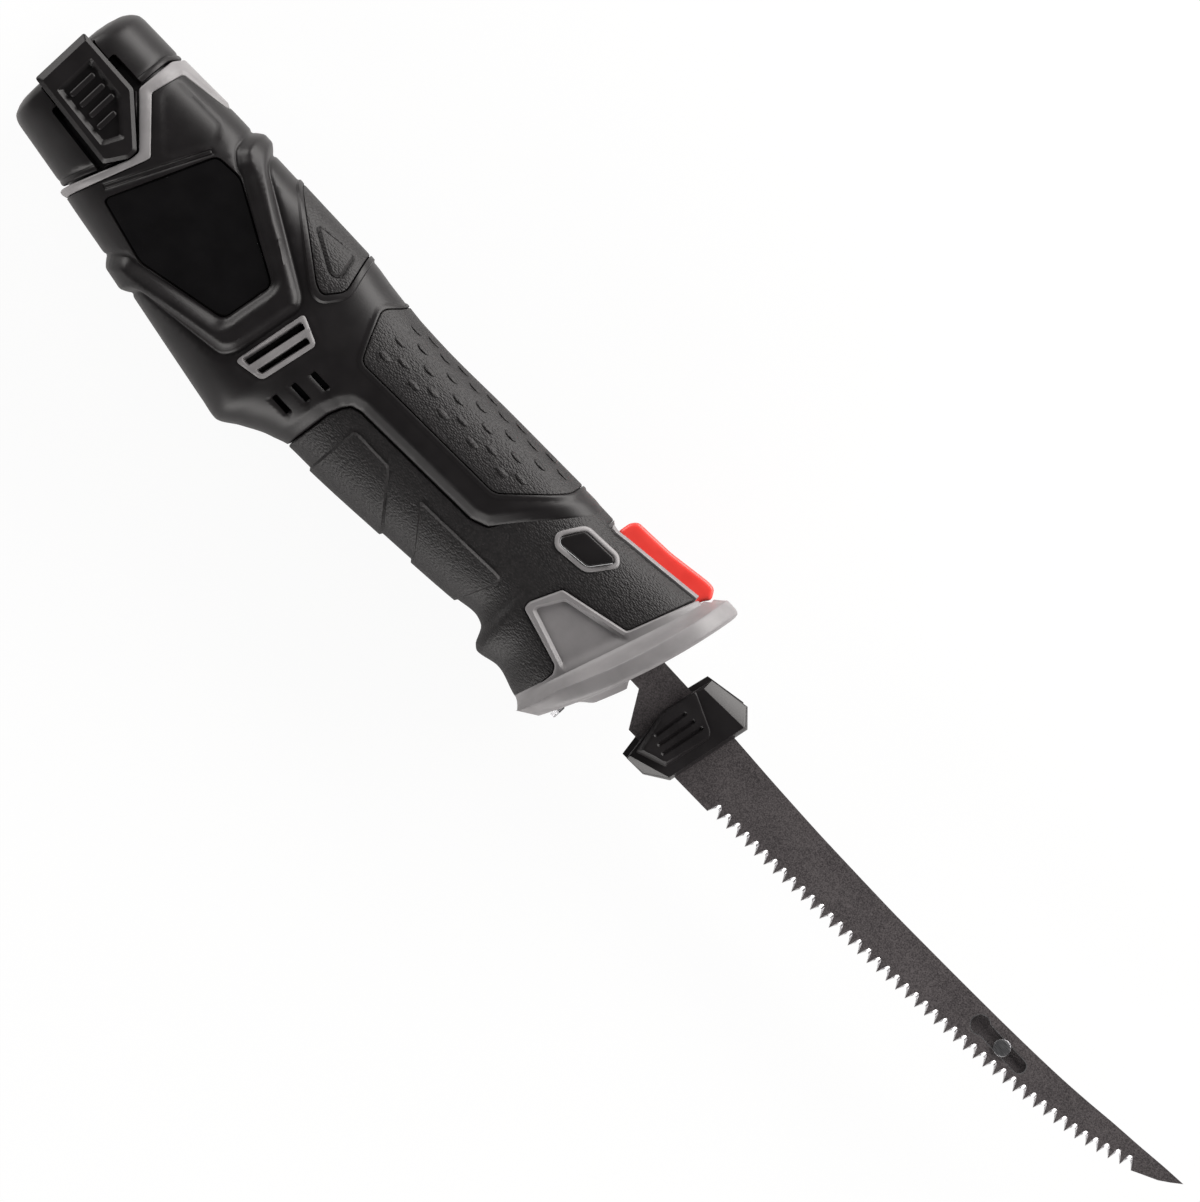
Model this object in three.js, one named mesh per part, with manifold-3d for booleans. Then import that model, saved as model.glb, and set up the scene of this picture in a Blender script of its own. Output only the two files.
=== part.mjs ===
// Electric fillet knife with a rechargeable battery pack, lying on its left side.
// Millimetres. x runs along the knife to the blade tip, y to the thumb trigger, z up from the table.
// Right pieces are on top as the knife lies, left pieces face the table.
import * as THREE from "three";
import { ConvexGeometry } from "three/addons/geometries/ConvexGeometry.js";
import { mergeVertices } from "three/addons/utils/BufferGeometryUtils.js";
import Module from "manifold-3d";

const wasm = await Module();
wasm.setup();

// Clearances
const GAP = 0.3;
const RUN = 0.4;
const FAR = 80;
const ABOVE = 40;
const BELOW = -50;
const BEHIND = -300;
const AHEAD = 40;
const OUTER_STEPS = 16;
const INNER_STEPS = 12;
const ROUND_STEPS = 14;

// Battery cells, and the walls round them that set the handle's width
const CELL_RADIUS = 9.2;
const CELL_LENGTH = 65;
const STEM_WALL = 1.1;
const SOCKET_WALL = 1.47;
const PLATE_THICK = 1.4;
const PLATE_SINK = 0.5;
const CELL_RING = CELL_RADIUS * 2 / Math.sqrt(3) + GAP / 2;
const STEM_HALF = CELL_RING * Math.sqrt(3) / 2 + CELL_RADIUS + GAP + STEM_WALL;
const BODY_HALF = STEM_HALF + RUN + SOCKET_WALL + GAP + PLATE_THICK + PLATE_SINK;

// Handle lines: x, bottom edge, top edge, half width, squareness of the section
const HALF_THICKNESS = 26;
const REST_POINT = [-156, -12];
const GRIP_HALF = 20.4;
const HANDLE_LINES = [
  [-234, -29.6, 21.6, BODY_HALF - 0.8, 3],
  [-222, -32, 22, BODY_HALF - 0.2, 3.1],
  [-202, -35, 22.6, BODY_HALF, 3.3],
  [-165, -41, 22.6, BODY_HALF, 3.4],
  [-144, -44.3, 22.4, BODY_HALF - 0.6, 3.3],
  [-137, -40.2, 21.6, GRIP_HALF + 2, 3],
  [-129, -35.9, 20.9, GRIP_HALF + 0.8, 2.7],
  [-122, -34, 20.4, GRIP_HALF + 0.2, 2.5],
  [-113, -33.6, 20.3, GRIP_HALF, 2.5],
  [-84.6, -31.3, 21.4, GRIP_HALF, 2.5],
  [-48, -27.3, 22.5, GRIP_HALF, 2.5],
  [-43.8, -28.5, 22.5, GRIP_HALF, 2.5],
  [-41, -33.4, 22.5, GRIP_HALF, 2.5],
  [-39, -34.6, 22.6, GRIP_HALF, 2.5],
  [-31.5, -33.1, 23.6, GRIP_HALF, 2.5],
  [-20.4, -35.6, 25.2, GRIP_HALF, 2.5],
  [4, -36, 28.6, GRIP_HALF + 0.4, 2.5],
];
const WALL = 2.2;
const LEDGE = 2;
const LEDGE_BEVEL = 4.5;
const SLEEVE_EDGE = 0.15;
const SLEEVE_THICK = 2.1;
const SLEEVE_PAD_RISE = 0.6;
const GRIP_THICK = 2;
const GRIP_RISE = 0.3;
const PAD_RISE = 0.5;
const PAD_BUTTON_RISE = 0.7;
const FACET_SINK = 0.6;
const RIDGE_RISE = 2.6;
const GRILLE_THICK = 2;
const GRILLE_RISE = 0.3;

// Side view outlines of the handle's panels, x and y
const COLLAR_BACK = [
  [-228.5, ABOVE], [-228.5, 21.8], [-230.5, 19], [-231.2, 6.5], [-217.2, -6.5], [-217.5, -10], [-225, -30.5],
  [-225.5, BELOW],
];
const COLLAR_FRONT = [
  [-208.8, ABOVE], [-208.8, 22], [-225.4, 19.1], [-227.7, 8.5], [-213.7, -5], [-213.9, -6.5], [-222.3, -30.8],
  [-223, BELOW],
];
const FACET = [[-226, 18.2], [-206.5, 17.3], [-202.7, 12.3], [-209.5, -1.5], [-213, -3.8], [-226.5, 8.6]];
const PLATE = [
  [-200.5, 10], [-191, 10.8], [-160.8, -4.6], [-163.5, -22.3], [-193, -29.2], [-214.5, -24.3],
];
const RIDGE = [
  [-190, ABOVE], [-190, 21.5], [-187.3, 18], [-152.7, -0.8], [-150.8, -3.1], [-154.2, -26.2], [-156.5, -29.6],
  [-188, -34.6], [-191.9, BELOW], [-201.9, BELOW], [-201.9, -35.2], [-196.5, -30.6], [-193, -30.2],
  [-162.6, -23.2], [-159.9, -4.2], [-190.6, 11.8], [-193.5, 12.4], [-197.7, 15.4], [-198.5, 19.6],
  [-198, ABOVE],
];
const REAR_PAD = [
  [-177.3, ABOVE], [-177.3, 22.2], [-151.9, 5], [-148.5, 4.2], [-144.2, 10], [-147.7, 22.3], [-147.7, ABOVE],
];
const PAD_BUTTON = [[-165, 17.3], [-151.5, 10.4], [-148.8, 11.5], [-150.8, 19.2]];
const GRILLE = [[-148.1, -3.5], [-138.8, -7.3], [-142.3, -26.2], [-151.9, -28.1]];
const GRILLE_SLOTS = [
  [[-147.3, -5.4], [-144.6, -6.2], [-148.1, -26.2], [-151.2, -26.5]],
  [[-142.7, -7.3], [-140.4, -8.1], [-143.5, -25], [-145.8, -25.8]],
];
const INTAKE_LENGTH = 7;
const INTAKE_WIDTH = 1.9;
const INTAKES = [[-130.2, -13.6], [-131.6, -20.6], [-133.2, -27.2]];
const UPPER_GRIP = [
  [-128.1, ABOVE], [-128.1, 20.4], [-133.5, 14.6], [-128.8, 4.6], [-126.2, 0], [-124.6, -0.8], [-70, 1.4],
  [-57.7, 13.8], [-53.8, 18.5], [-53.2, ABOVE],
];
const SLEEVE = [
  [-122.7, BELOW], [-122.7, -33.5], [-121.2, -19.2], [-119.6, -14.6], [-118, -12.3], [-115, -11.3],
  [-69.2, -9.2],
  [-63.8, -6.9], [-42.7, 21.4], [-42.7, ABOVE], [AHEAD, ABOVE], [AHEAD, BELOW],
];
const SLEEVE_PADS = [
  [[-112.3, -16.9], [-110.8, -16.1], [-97.7, -16], [-96.5, -16.9], [-84.2, -30.8], [-84.2, BELOW],
   [-114.6, BELOW]],
  [[-83.8, -16.2], [-50.8, -14.2], [-49.2, -15.4], [-54.6, -28.5], [-54.6, BELOW], [-72.7, BELOW],
   [-72.7, -28.8]],
];
const SHIELD = [
  [-5.2, 24.5], [-12.3, 3.5], [-12.5, 2.7], [-35, -3.1], [-39.2, -13.1], [-38.8, -15.4], [-20, -20.4],
  [-18.5, -22.7], [-19.6, -34.6], [-20, BELOW], [AHEAD, BELOW], [AHEAD, ABOVE], [-3, ABOVE],
];
const SHIELD_FIELD = [[-32.3, -4.6], [-13, 0.4], [-19.5, -18.6], [-36.3, -13.6], [-36.5, -12.3]];
const SHIELD_SINK = 0.8;

// Hand guard: its front face leans and bows in the side view
const GUARD_TOP = 30.9;
const GUARD_BOTTOM = -38.3;
const GUARD_LEAN = 0.3;
const GUARD_BOW = 0.0025;
const GUARD_REACH = 0.6;
const GUARD_DEEP = 9;
const GUARD_BACK = 10.6;
const GUARD_SQUARE = 2.4;
const GUARD_BACK_SHARE = 0.8;
const GUARD_STEPS = [[0.985, 0.7], [1, 0.47], [0.97, 0.11], [0.86, 0]];
const NOSE_REACH = 2.2;
const NOSE_TOP = -7.8;
const NOSE_BOTTOM = -23;
const NOSE_HALF = 6;

// Blade pair
const BLADE_THICK = 0.9;
const BLADE_GAP = 0.5;
const BLADE_TIP = [222.4, 11.4];
const BLADE_SPINE = [[33, 4.2], [55, 3.5], [85, 3.2], [120, 3.8], [150, 4.9], [175, 6.4], [195, 8.6]];
const SHANK_TOP = 4.5;
const SHANK_BOTTOM = -6.7;
const TANG_END = -36;
const HEEL = [[2.3, SHANK_BOTTOM], [9.2, -17.3], [29, -17], [43.1, -16.7]];
const EDGE_LINE = [[43.1, -16.7], [101.2, -13.5], [147.5, -9.7], [174.4, -6.1], [193.6, -2.4], [208.6, 2.7]];
const BELLY = [[211.9, 4.4], [216.3, 6.6], [219.4, 8.9]];
const TOOTH_PITCH = 3.87;
const GULLET_DEPTH = 4;
const RIVET_PLACE = [155.4, -0.5];
const RIVET_SHANK = 1.7;
const RIVET_HEAD = 2.7;
const RIVET_HEAD_THICK = 0.6;
const SLOT_HALF = 2.15;
const SLOT_FRONT = 165;
const KEYHOLE_X = 145.9;
const KEYHOLE_RADIUS = 2.95;
const STROKE = 6;

// Blade clips: a base with sloped ends, and a raised thumb face on its shelf
const CLIP_BASE = [
  [15.4, 11], [28.5, 13.5], [33.5, 8.8], [28.8, -18.6], [21.9, -23.3], [15, -23.6], [11.9, -5.8],
];
const CLIP_FACE = [[14.4, 5.4], [26.2, 0.4], [27.7, -1.2], [25, -16.8], [15.4, -20.4], [11.9, -5.8]];
const CLIP_SHELF = [[15.7, 7.5], [32.6, 8.4], [28.3, -18], [15.3, -22.2], [12.3, -5.8]];
const CLIP_EDGE = 0.6;
const CLIP_SHELF_TOP = 5.6;
const CLIP_FACE_BEVEL = 1.5;
const CLIP_FACE_TOP = 9;
const CLIP_GROOVES = [[17.2, -1.8, 15.9, -12.3], [20.6, -1.5, 18.7, -13.5], [23.8, -1.2, 21.5, -14.5]];
const GROOVE_HALF = 0.7;
const GROOVE_DEPTH = 0.8;
const LEFT_CLIP_SHIFT = -1.8;

// Trigger, its switch and its lock
const TRIGGER_TOP = [
  [-36.4, 21.5], [-35.8, 25.4], [-34.2, 27.3], [-20.8, 28.2], [-6.9, 30.5], [-4.2, 30.4], [-2.2, 27.3],
  [-4, 25],
];
const TRIGGER_FLOOR = 19.4;
const TRIGGER_HALF = 8;
const TRIGGER_BEVEL = 1;
const TRIGGER_PIVOT = [-33, 19];
const TRIGGER_PIN_RADIUS = 1.3;
const TRIGGER_POCKET = [-37.2, -0.9];
const BEZEL_WIDTH = 1.3;
const BEZEL_FLOOR = 16.5;
const BEZEL_RISE = 0.5;
const SWITCH_BOX = [-29, -18];
const SWITCH_FLOOR = 6.6;
const SWITCH_TOP = 14.6;
const SWITCH_HALF = 5;
const PLUNGER_X = -22;
const PLUNGER_RADIUS = 1.5;
const PLUNGER_DEEP = 4.6;
const BRACKET_THICK = 1.2;
const SPRING_X = -14.4;
const SPRING_RADIUS = 2.4;
const SPRING_WIRE = 0.35;
const SPRING_TURNS = 5;
const LOCK_SHAPE = [[-46.9, 7.3], [-43.1, 13.8], [-31.5, 14.6], [-30.4, 13.5], [-35, 6.9], [-45.4, 5.6]];
const LOCK_HALF = 18.6;
const LOCK_RIM = 1.5;

// Motor, worm drive and blade carriers
const GEAR_X = -112;
const GEAR_Y = -1.2;
const GEAR_MODULE = 1;
const GEAR_TEETH = 20;
const GEAR_HALF = 2.8;
const WORM_STARTS = 2;
const WORM_PITCH_RADIUS = 5;
const WORM_LENGTH = 16;
const TOOTH_TIP = 0.9;
const TOOTH_ROOT = 1.25;
const AXLE_RADIUS = 1.2;
const PIN_RADIUS = 1.5;
const PIN_REACH = 3.9;
const CARRIER_THICK = 3;
const CARRIER_FRAME = 3;
const CARRIER_ARM_TOP = 3.8;
const CARRIER_ARM_BOTTOM = -6;
const CARRIER_FRONT = -17;
const BAY_FLOOR = -16.5;
const GUIDE_X = -57;
const GUIDE_LENGTH = 9;
const SHAFT_RADIUS = 1.6;
const MOTOR_RADIUS = 17;
const MOTOR_BACK = -174;
const MOTOR_FRONT = -137;
const MOTOR_CAP = 3.4;
const MOTOR_BOSS = 6;
const MOTOR_BOSS_LONG = 2;
const FAN_RADIUS = 14.5;
const FAN_X = -133.4;
const FAN_LONG = 4.6;
const FAN_BLADES = 8;
const BUSH_RADIUS = 4;
const BUSH_LONG = 4;
const FRAME_THICK = 2.5;
const FRAME_HALF = 6.8;

// Battery pack: three cells in a stem that enters the handle
const SEAM = 0.8;
const CELL_WALL = 2.2;
const STEM_Y = -3.2;
const STEM_HALF_HEIGHT = 21.5;
const STEM_SQUARE = 2.4;
const TERMINAL_THICK = 3.2;
const TERMINAL_HALF = 13;
const CONTACT_THICK = 3;
const LATCH_LOW = 22.8;
const LATCH_TOP = 25.6;
const LATCH_BEVEL = 1.4;
const LATCH_SINK = 0.9;
const LATCH_SLOT = 2;
const LATCH_RIB_HALF = 0.8;
const LATCH_TRAVEL = 2.4;
const LATCH_HOOK = 14;
const CONTACT_BACK = MOTOR_BACK - MOTOR_CAP - CONTACT_THICK - 2 * GAP;
const STEM_FRONT = CONTACT_BACK - TERMINAL_THICK - RUN - 2 * GAP;
const CELL_BACK = STEM_FRONT - GAP - CELL_LENGTH;
const PACK_BACK = CELL_BACK - CELL_WALL;
const PACK_LINES = [
  [PACK_BACK, -21.5, 15.5, BODY_HALF - 4.5, 3],
  [PACK_BACK + 1.1, -25, 19, BODY_HALF - 2, 3],
  [PACK_BACK + 4.1, -27, 21.2, BODY_HALF - 0.4, 3],
  [PACK_BACK + 8.7, -27.8, 21.7, BODY_HALF, 3],
  [-212, -32.2, 22, BODY_HALF, 3],
];
const LATCH_BACK = PACK_BACK - 1.9;
const LATCH = [
  [LATCH_BACK, 5.8], [-232.3, 5.2], [-217.9, -6.8], [-217.9, -10], [-222, -16.8], [LATCH_BACK, -14.2],
];
const LATCH_FIELD_BACK = PACK_BACK + 5;
const LATCH_FIELD = [
  [LATCH_FIELD_BACK, 2.3], [-233, 1.2], [-223, -6.9], [-226.2, -13.5], [LATCH_FIELD_BACK, -11.9],
];
const LATCH_SLOT_BACK = PACK_BACK + 8.7;
const LATCH_RIBS = [-243.5, -239.2, -235, -230.8];

// Screws
const SCREW_HEAD = 2.8;
const SCREW_HEAD_LONG = 1.8;
const SCREW_SHANK = 1.4;
const SCREW_SINK = 1.2;
const SCREW_BITE = 5;
const HOUSING_SCREWS = [[-214, -28.6], [-171, 13.6], [-149.5, -37.5], [-89.5, -20.5], [-45.5, -21.5]];
const GUARD_SCREW_Y = -29;
const GUARD_SCREW_LONG = 15;

// Sizes that follow from the values above
const STROKE_HALF = STROKE / 2;
const BLADE_INNER = BLADE_GAP / 2;
const BLADE_OUTER = BLADE_INNER + BLADE_THICK;
const GEAR_RADIUS = GEAR_MODULE * GEAR_TEETH / 2;
const WORM_LEAD = WORM_STARTS * Math.PI * GEAR_MODULE;
const DRIVE_Y = GEAR_Y - GEAR_RADIUS - WORM_PITCH_RADIUS;
const LATCH_FLOOR = LATCH_LOW - LATCH_TRAVEL - RUN;
const CARRIER_INNER = GEAR_HALF + RUN;
const WINDOW_LONG = PIN_RADIUS + STROKE + RUN;
const WINDOW_TALL = PIN_RADIUS + STROKE_HALF + RUN;
const CARRIER_OUTER = CARRIER_INNER + CARRIER_THICK;
const FRAME_BOTTOM = DRIVE_Y - BUSH_RADIUS - GAP - 2 * FRAME_THICK;
const HOUSING_FLOOR = LEDGE + SLEEVE_THICK + GAP;
const BAY_HALF = GRIP_HALF - HOUSING_FLOOR - WALL;

// Materials
const plastic = new THREE.MeshStandardMaterial({ color: 0x262425, roughness: 0.45, metalness: 0 });
const rubber = new THREE.MeshStandardMaterial({ color: 0x2b292a, roughness: 0.75, metalness: 0 });
const glossBlack = new THREE.MeshStandardMaterial({ color: 0x100f10, roughness: 0.15, metalness: 0 });
const greyPlastic = new THREE.MeshStandardMaterial({ color: 0x848386, roughness: 0.5, metalness: 0 });
const redPlastic = new THREE.MeshStandardMaterial({ color: 0xe22320, roughness: 0.4, metalness: 0 });
const coatedSteel = new THREE.MeshStandardMaterial({ color: 0x464242, roughness: 0.55, metalness: 0.6 });
const steel = new THREE.MeshStandardMaterial({ color: 0xb9bbbd, roughness: 0.3, metalness: 1 });
const brass = new THREE.MeshStandardMaterial({ color: 0xb08d4a, roughness: 0.35, metalness: 1 });
const nylon = new THREE.MeshStandardMaterial({ color: 0xe6e2d6, roughness: 0.5, metalness: 0 });
const cellWrap = new THREE.MeshStandardMaterial({ color: 0x2f6fa8, roughness: 0.4, metalness: 0 });

// Solids from three.js geometry
function solid(geometry) {
  const bare = geometry.index ? geometry.toNonIndexed() : geometry.clone();
  bare.deleteAttribute("normal");
  bare.deleteAttribute("uv");
  const merged = mergeVertices(bare, 1e-4);
  const mesh = new wasm.Mesh({
    numProp: 3,
    vertProperties: new Float32Array(merged.attributes.position.array),
    triVerts: new Uint32Array(merged.index.array),
  });
  return new wasm.Manifold(mesh);
}

function geometryOf(body) {
  const mesh = body.getMesh();
  const geometry = new THREE.BufferGeometry();
  geometry.setAttribute("position", new THREE.BufferAttribute(new Float32Array(mesh.vertProperties), 3));
  geometry.setIndex(new THREE.BufferAttribute(new Uint32Array(mesh.triVerts), 1));
  geometry.computeVertexNormals();
  return geometry;
}

function signedArea(points) {
  return THREE.ShapeUtils.area(points.map(([x, y]) => new THREE.Vector2(x, y)));
}

// An outline moved outwards by a distance, corner by corner
function grow(points, distance) {
  const turn = Math.sign(signedArea(points));
  return points.map((point, i) => {
    const before = points[(i + points.length - 1) % points.length];
    const after = points[(i + 1) % points.length];
    const along = new THREE.Vector2(point[0] - before[0], point[1] - before[1]).normalize();
    const onward = new THREE.Vector2(after[0] - point[0], after[1] - point[1]).normalize();
    const out = new THREE.Vector2(along.y + onward.y, -along.x - onward.x).multiplyScalar(turn);
    const reach = distance * 2 / Math.max(out.lengthSq(), 0.5);
    return [point[0] + out.x * reach, point[1] + out.y * reach];
  });
}

function shapeOf(points) {
  return new THREE.Shape(points.map(([x, y]) => new THREE.Vector2(x, y)));
}

// An outline in the side view, pushed along z
function prism(points, low, high) {
  const geometry = new THREE.ExtrudeGeometry(shapeOf(points), { depth: high - low, bevelEnabled: false });
  return solid(geometry.translate(0, 0, low));
}

function block(x0, x1, y0, y1, z0, z1) {
  const geometry = new THREE.BoxGeometry(x1 - x0, y1 - y0, z1 - z0);
  return solid(geometry.translate((x0 + x1) / 2, (y0 + y1) / 2, (z0 + z1) / 2));
}

// Round bars along each axis, between two stations
function barX(radius, x0, x1, y, z, steps = ROUND_STEPS) {
  const geometry = new THREE.CylinderGeometry(radius, radius, x1 - x0, steps);
  return solid(geometry.rotateZ(-Math.PI / 2).translate((x0 + x1) / 2, y, z));
}

function barY(radius, y0, y1, x, z, steps = ROUND_STEPS) {
  const geometry = new THREE.CylinderGeometry(radius, radius, y1 - y0, steps);
  return solid(geometry.translate(x, (y0 + y1) / 2, z));
}

function barZ(radius, z0, z1, x, y, steps = ROUND_STEPS) {
  const geometry = new THREE.CylinderGeometry(radius, radius, z1 - z0, steps);
  return solid(geometry.rotateX(Math.PI / 2).translate(x, y, (z0 + z1) / 2));
}

// Rings of equal count joined into a closed skin; flat gives each end's plane
function loft(loops, flat) {
  const inward = THREE.ShapeUtils.area(loops[0].map(flat)) < 0;
  const rings = inward ? loops.map((loop) => loop.slice().reverse()) : loops;
  const count = rings[0].length;
  const positions = rings.flat().flatMap((point) => [point.x, point.y, point.z]);
  const faces = [];
  for (let r = 0; r + 1 < rings.length; r += 1) {
    for (let i = 0; i < count; i += 1) {
      const next = (i + 1) % count;
      faces.push([r * count + i, r * count + next, (r + 1) * count + next]);
      faces.push([r * count + i, (r + 1) * count + next, (r + 1) * count + i]);
    }
  }
  const last = (rings.length - 1) * count;
  for (const [a, b, c] of THREE.ShapeUtils.triangulateShape(rings[0].map(flat), [])) {
    faces.push([c, b, a]);
  }
  for (const [a, b, c] of THREE.ShapeUtils.triangulateShape(rings[rings.length - 1].map(flat), [])) {
    faces.push([last + a, last + b, last + c]);
  }
  const geometry = new THREE.BufferGeometry();
  geometry.setAttribute("position", new THREE.Float32BufferAttribute(positions, 3));
  geometry.setIndex(faces.flat());
  return solid(geometry);
}

const acrossX = (point) => new THREE.Vector2(point.y, point.z);
const acrossZ = (point) => new THREE.Vector2(point.x, point.y);

// A rounded section of the handle at one station
function section(x, bottom, top, half, square, steps) {
  const middle = (top + bottom) / 2;
  const tall = (top - bottom) / 2;
  return Array.from({ length: steps }, (_, i) => {
    const angle = i * 2 * Math.PI / steps;
    const up = Math.cos(angle);
    const out = Math.sin(angle);
    const y = middle + tall * Math.sign(up) * Math.abs(up) ** (2 / square);
    const z = half * Math.sign(out) * Math.abs(out) ** (2 / square);
    return new THREE.Vector3(x, y, Math.abs(out) < 1e-9 ? 0 : z);
  });
}

function lines(table, side, edge, steps) {
  const rows = table.map(([x, bottom, top, half, square]) =>
    section(x, bottom - edge, top + edge, half + side, square, steps));
  return loft(rows, acrossX);
}

// The handle's outer form, grown sideways and at its top and bottom edges
function handleForm(side, edge = side) {
  return lines(HANDLE_LINES, side, edge, OUTER_STEPS);
}

// The same form at a depth below the surface, in plainer facets
function handleFloor(depth) {
  return lines(HANDLE_LINES, -depth, -depth, INNER_STEPS);
}

// What lies between two depths of the handle's form, inside an outline, on the right side
function panel(outline, outer, inner) {
  return outer.intersect(prism(outline, GAP / 2, FAR)).subtract(inner);
}

const guardFront = (y) => GUARD_REACH + GUARD_LEAN * y - GUARD_BOW * (y + 3) ** 2;
const guardBack = (y) => GUARD_LEAN * y - GUARD_BACK;
const sleeveForm = (rise) => handleForm(rise - LEDGE, rise - SLEEVE_EDGE);

// Outlines that bound several pieces
const collarBand = COLLAR_BACK.concat(COLLAR_FRONT.slice().reverse());
const packSide = COLLAR_BACK.map(([x, y]) => [x - SEAM, y]).concat([[BEHIND, BELOW], [BEHIND, ABOVE]]);
const housingSide = COLLAR_FRONT.map(([x, y]) => [x + GAP, y]).concat(
  [BELOW, ABOVE].map((y) => [guardBack(y) - GAP, y]),
);
const behindGuard = (shift) => [[BEHIND, ABOVE], [BEHIND, BELOW]].concat(
  [BELOW, ABOVE].map((y) => [guardBack(y) + shift, y]),
);
const lockRim = grow(LOCK_SHAPE, LOCK_RIM + GAP);

// Inner space of the handle: pack socket, motor bay, drive bay and carrier bay
function innerSpace() {
  const motorBottom = DRIVE_Y - MOTOR_RADIUS - 2 * RUN;
  const fanBottom = DRIVE_Y - FAN_RADIUS - 2 * RUN;
  const driveBottom = FRAME_BOTTOM - GAP - FRAME_THICK / 2;
  const motorHalf = MOTOR_RADIUS + 2 * RUN + 1;
  const bayTop = SWITCH_TOP + 1.2;
  const socketHalf = STEM_HALF + RUN;
  const socketBottom = STEM_Y - STEM_HALF_HEIGHT - RUN;
  const socketTop = STEM_Y + STEM_HALF_HEIGHT + RUN;
  const socketEnd = STEM_FRONT + TERMINAL_THICK + RUN;
  const socket = lines([PACK_BACK, socketEnd].map((x) =>
    [x, socketBottom, socketTop, socketHalf, STEM_SQUARE]), 0, 0, OUTER_STEPS);
  const bays = lines([
    [socketEnd - 1, motorBottom, bayTop, motorHalf, 2.6],
    [socketEnd + 2, motorBottom, bayTop, motorHalf + 1, 2.6],
    [MOTOR_FRONT + 1, motorBottom, bayTop, motorHalf, 2.6],
    [FAN_X - 0.8, fanBottom, bayTop, FAN_RADIUS + 2, 2.6],
    [FAN_X + FAN_LONG + 0.6, fanBottom, bayTop, FAN_RADIUS + 1.4, 2.6],
    [GEAR_X - 12, driveBottom, bayTop, BAY_HALF, 3],
    [GEAR_X + 16, driveBottom, bayTop, BAY_HALF, 3],
    [GUIDE_X - GUIDE_LENGTH, BAY_FLOOR, bayTop, BAY_HALF, 3],
    [AHEAD, BAY_FLOOR, bayTop, BAY_HALF, 3],
  ], 0, 0, INNER_STEPS);
  return socket.add(bays);
}

const triggerPocket = block(TRIGGER_POCKET[0], TRIGGER_POCKET[1], SWITCH_TOP, FAR, -TRIGGER_HALF - RUN,
  TRIGGER_HALF + RUN);
const triggerPinHole = barZ(TRIGGER_PIN_RADIUS + GAP, -FAR, FAR, ...TRIGGER_PIVOT, 10);
const guardScrewHole = barX(SCREW_SHANK + GAP, guardFront(GUARD_SCREW_Y) - GUARD_SCREW_LONG - GAP, AHEAD,
  GUARD_SCREW_Y, 0, 8)
  .add(barX(SCREW_HEAD + GAP, guardFront(GUARD_SCREW_Y) - SCREW_SINK / 2 - GAP, AHEAD, GUARD_SCREW_Y, 0, 12));
const lockHole = prism(grow(LOCK_SHAPE, GAP), -FAR, FAR);

// A long slot with round ends lying along x
function slotOutline(x, y, length, width) {
  const end = (length - width) / 2;
  return Array.from({ length: 6 }, (_, i) => {
    const side = i < 3 ? 1 : -1;
    const angle = (i % 3) * Math.PI / 2 - Math.PI / 2;
    return [
      x + side * (end + Math.cos(angle) * width / 2),
      y + side * Math.sin(angle) * width / 2,
    ];
  });
}

// Half of the handle's moulded shell, drawn as the right half
function housingHalf(hasPlate, screwSide) {
  const ridge = handleForm(RIDGE_RISE).intersect(prism(RIDGE, -FAR, HALF_THICKNESS));
  let body = handleForm(0).add(ridge)
    .intersect(prism(housingSide, GAP / 2, FAR))
    .subtract(innerSpace())
    .subtract(prism(SLEEVE, -FAR, FAR).subtract(handleFloor(HOUSING_FLOOR)))
    .subtract(ledgeBevel());
  const cuts = [
    [grow(UPPER_GRIP, GAP), GRIP_THICK + GAP],
    [grow(REAR_PAD, GAP), GRIP_THICK + GAP],
    [grow(GRILLE, GAP), GRILLE_THICK + GAP],
    [FACET, FACET_SINK],
    [grow(PLATE, GAP), hasPlate ? PLATE_SINK + PLATE_THICK + GAP : PLATE_SINK],
    [lockRim, HOUSING_FLOOR + GRILLE_THICK - GAP],
  ];
  for (const [outline, depth] of cuts) {
    body = body.subtract(prism(outline, 0, FAR).subtract(handleFloor(depth)));
  }
  for (const slot of GRILLE_SLOTS) {
    body = body.subtract(prism(slot, 5, FAR));
  }
  for (const [x, y] of INTAKES) {
    body = body.subtract(prism(slotOutline(x, y, INTAKE_LENGTH, INTAKE_WIDTH), 3, FAR));
  }
  body = body.subtract(lockHole).subtract(triggerPocket).subtract(triggerRim(GAP)).subtract(guardScrewHole);
  for (const [x, y] of HOUSING_SCREWS) {
    body = body.subtract(screwHole(x, y, screwSide));
  }
  return body;
}

// The bevelled edge where the wide upper handle meets the sleeve below it
function ledgeBevel() {
  const low = GRIP_HALF - LEDGE - 0.6;
  const high = GRIP_HALF + 1.4;
  const rings = [SLEEVE, grow(SLEEVE, LEDGE_BEVEL)].map((outline, i) =>
    outline.map(([x, y]) => new THREE.Vector3(x, y, i ? high : low)));
  return loft(rings, acrossZ);
}

// Where the housing screws sit: the head is on the left half
function screwSeat(x, y) {
  const row = HANDLE_LINES.findIndex((line) => line[0] > x);
  const [x0, bottom0, top0, half0, square] = HANDLE_LINES[row - 1];
  const [x1, bottom1, top1, half1] = HANDLE_LINES[row];
  const share = (x - x0) / (x1 - x0);
  const middle = THREE.MathUtils.lerp(top0 + bottom0, top1 + bottom1, share) / 2;
  const tall = THREE.MathUtils.lerp(top0 - bottom0, top1 - bottom1, share) / 2;
  const half = THREE.MathUtils.lerp(half0, half1, share);
  return half * (1 - Math.abs((y - middle) / tall) ** square) ** (1 / square);
}

const screwTop = (x, y) => screwSeat(x, y) - SCREW_SINK - (x > GEAR_X ? LEDGE : 0);

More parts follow.
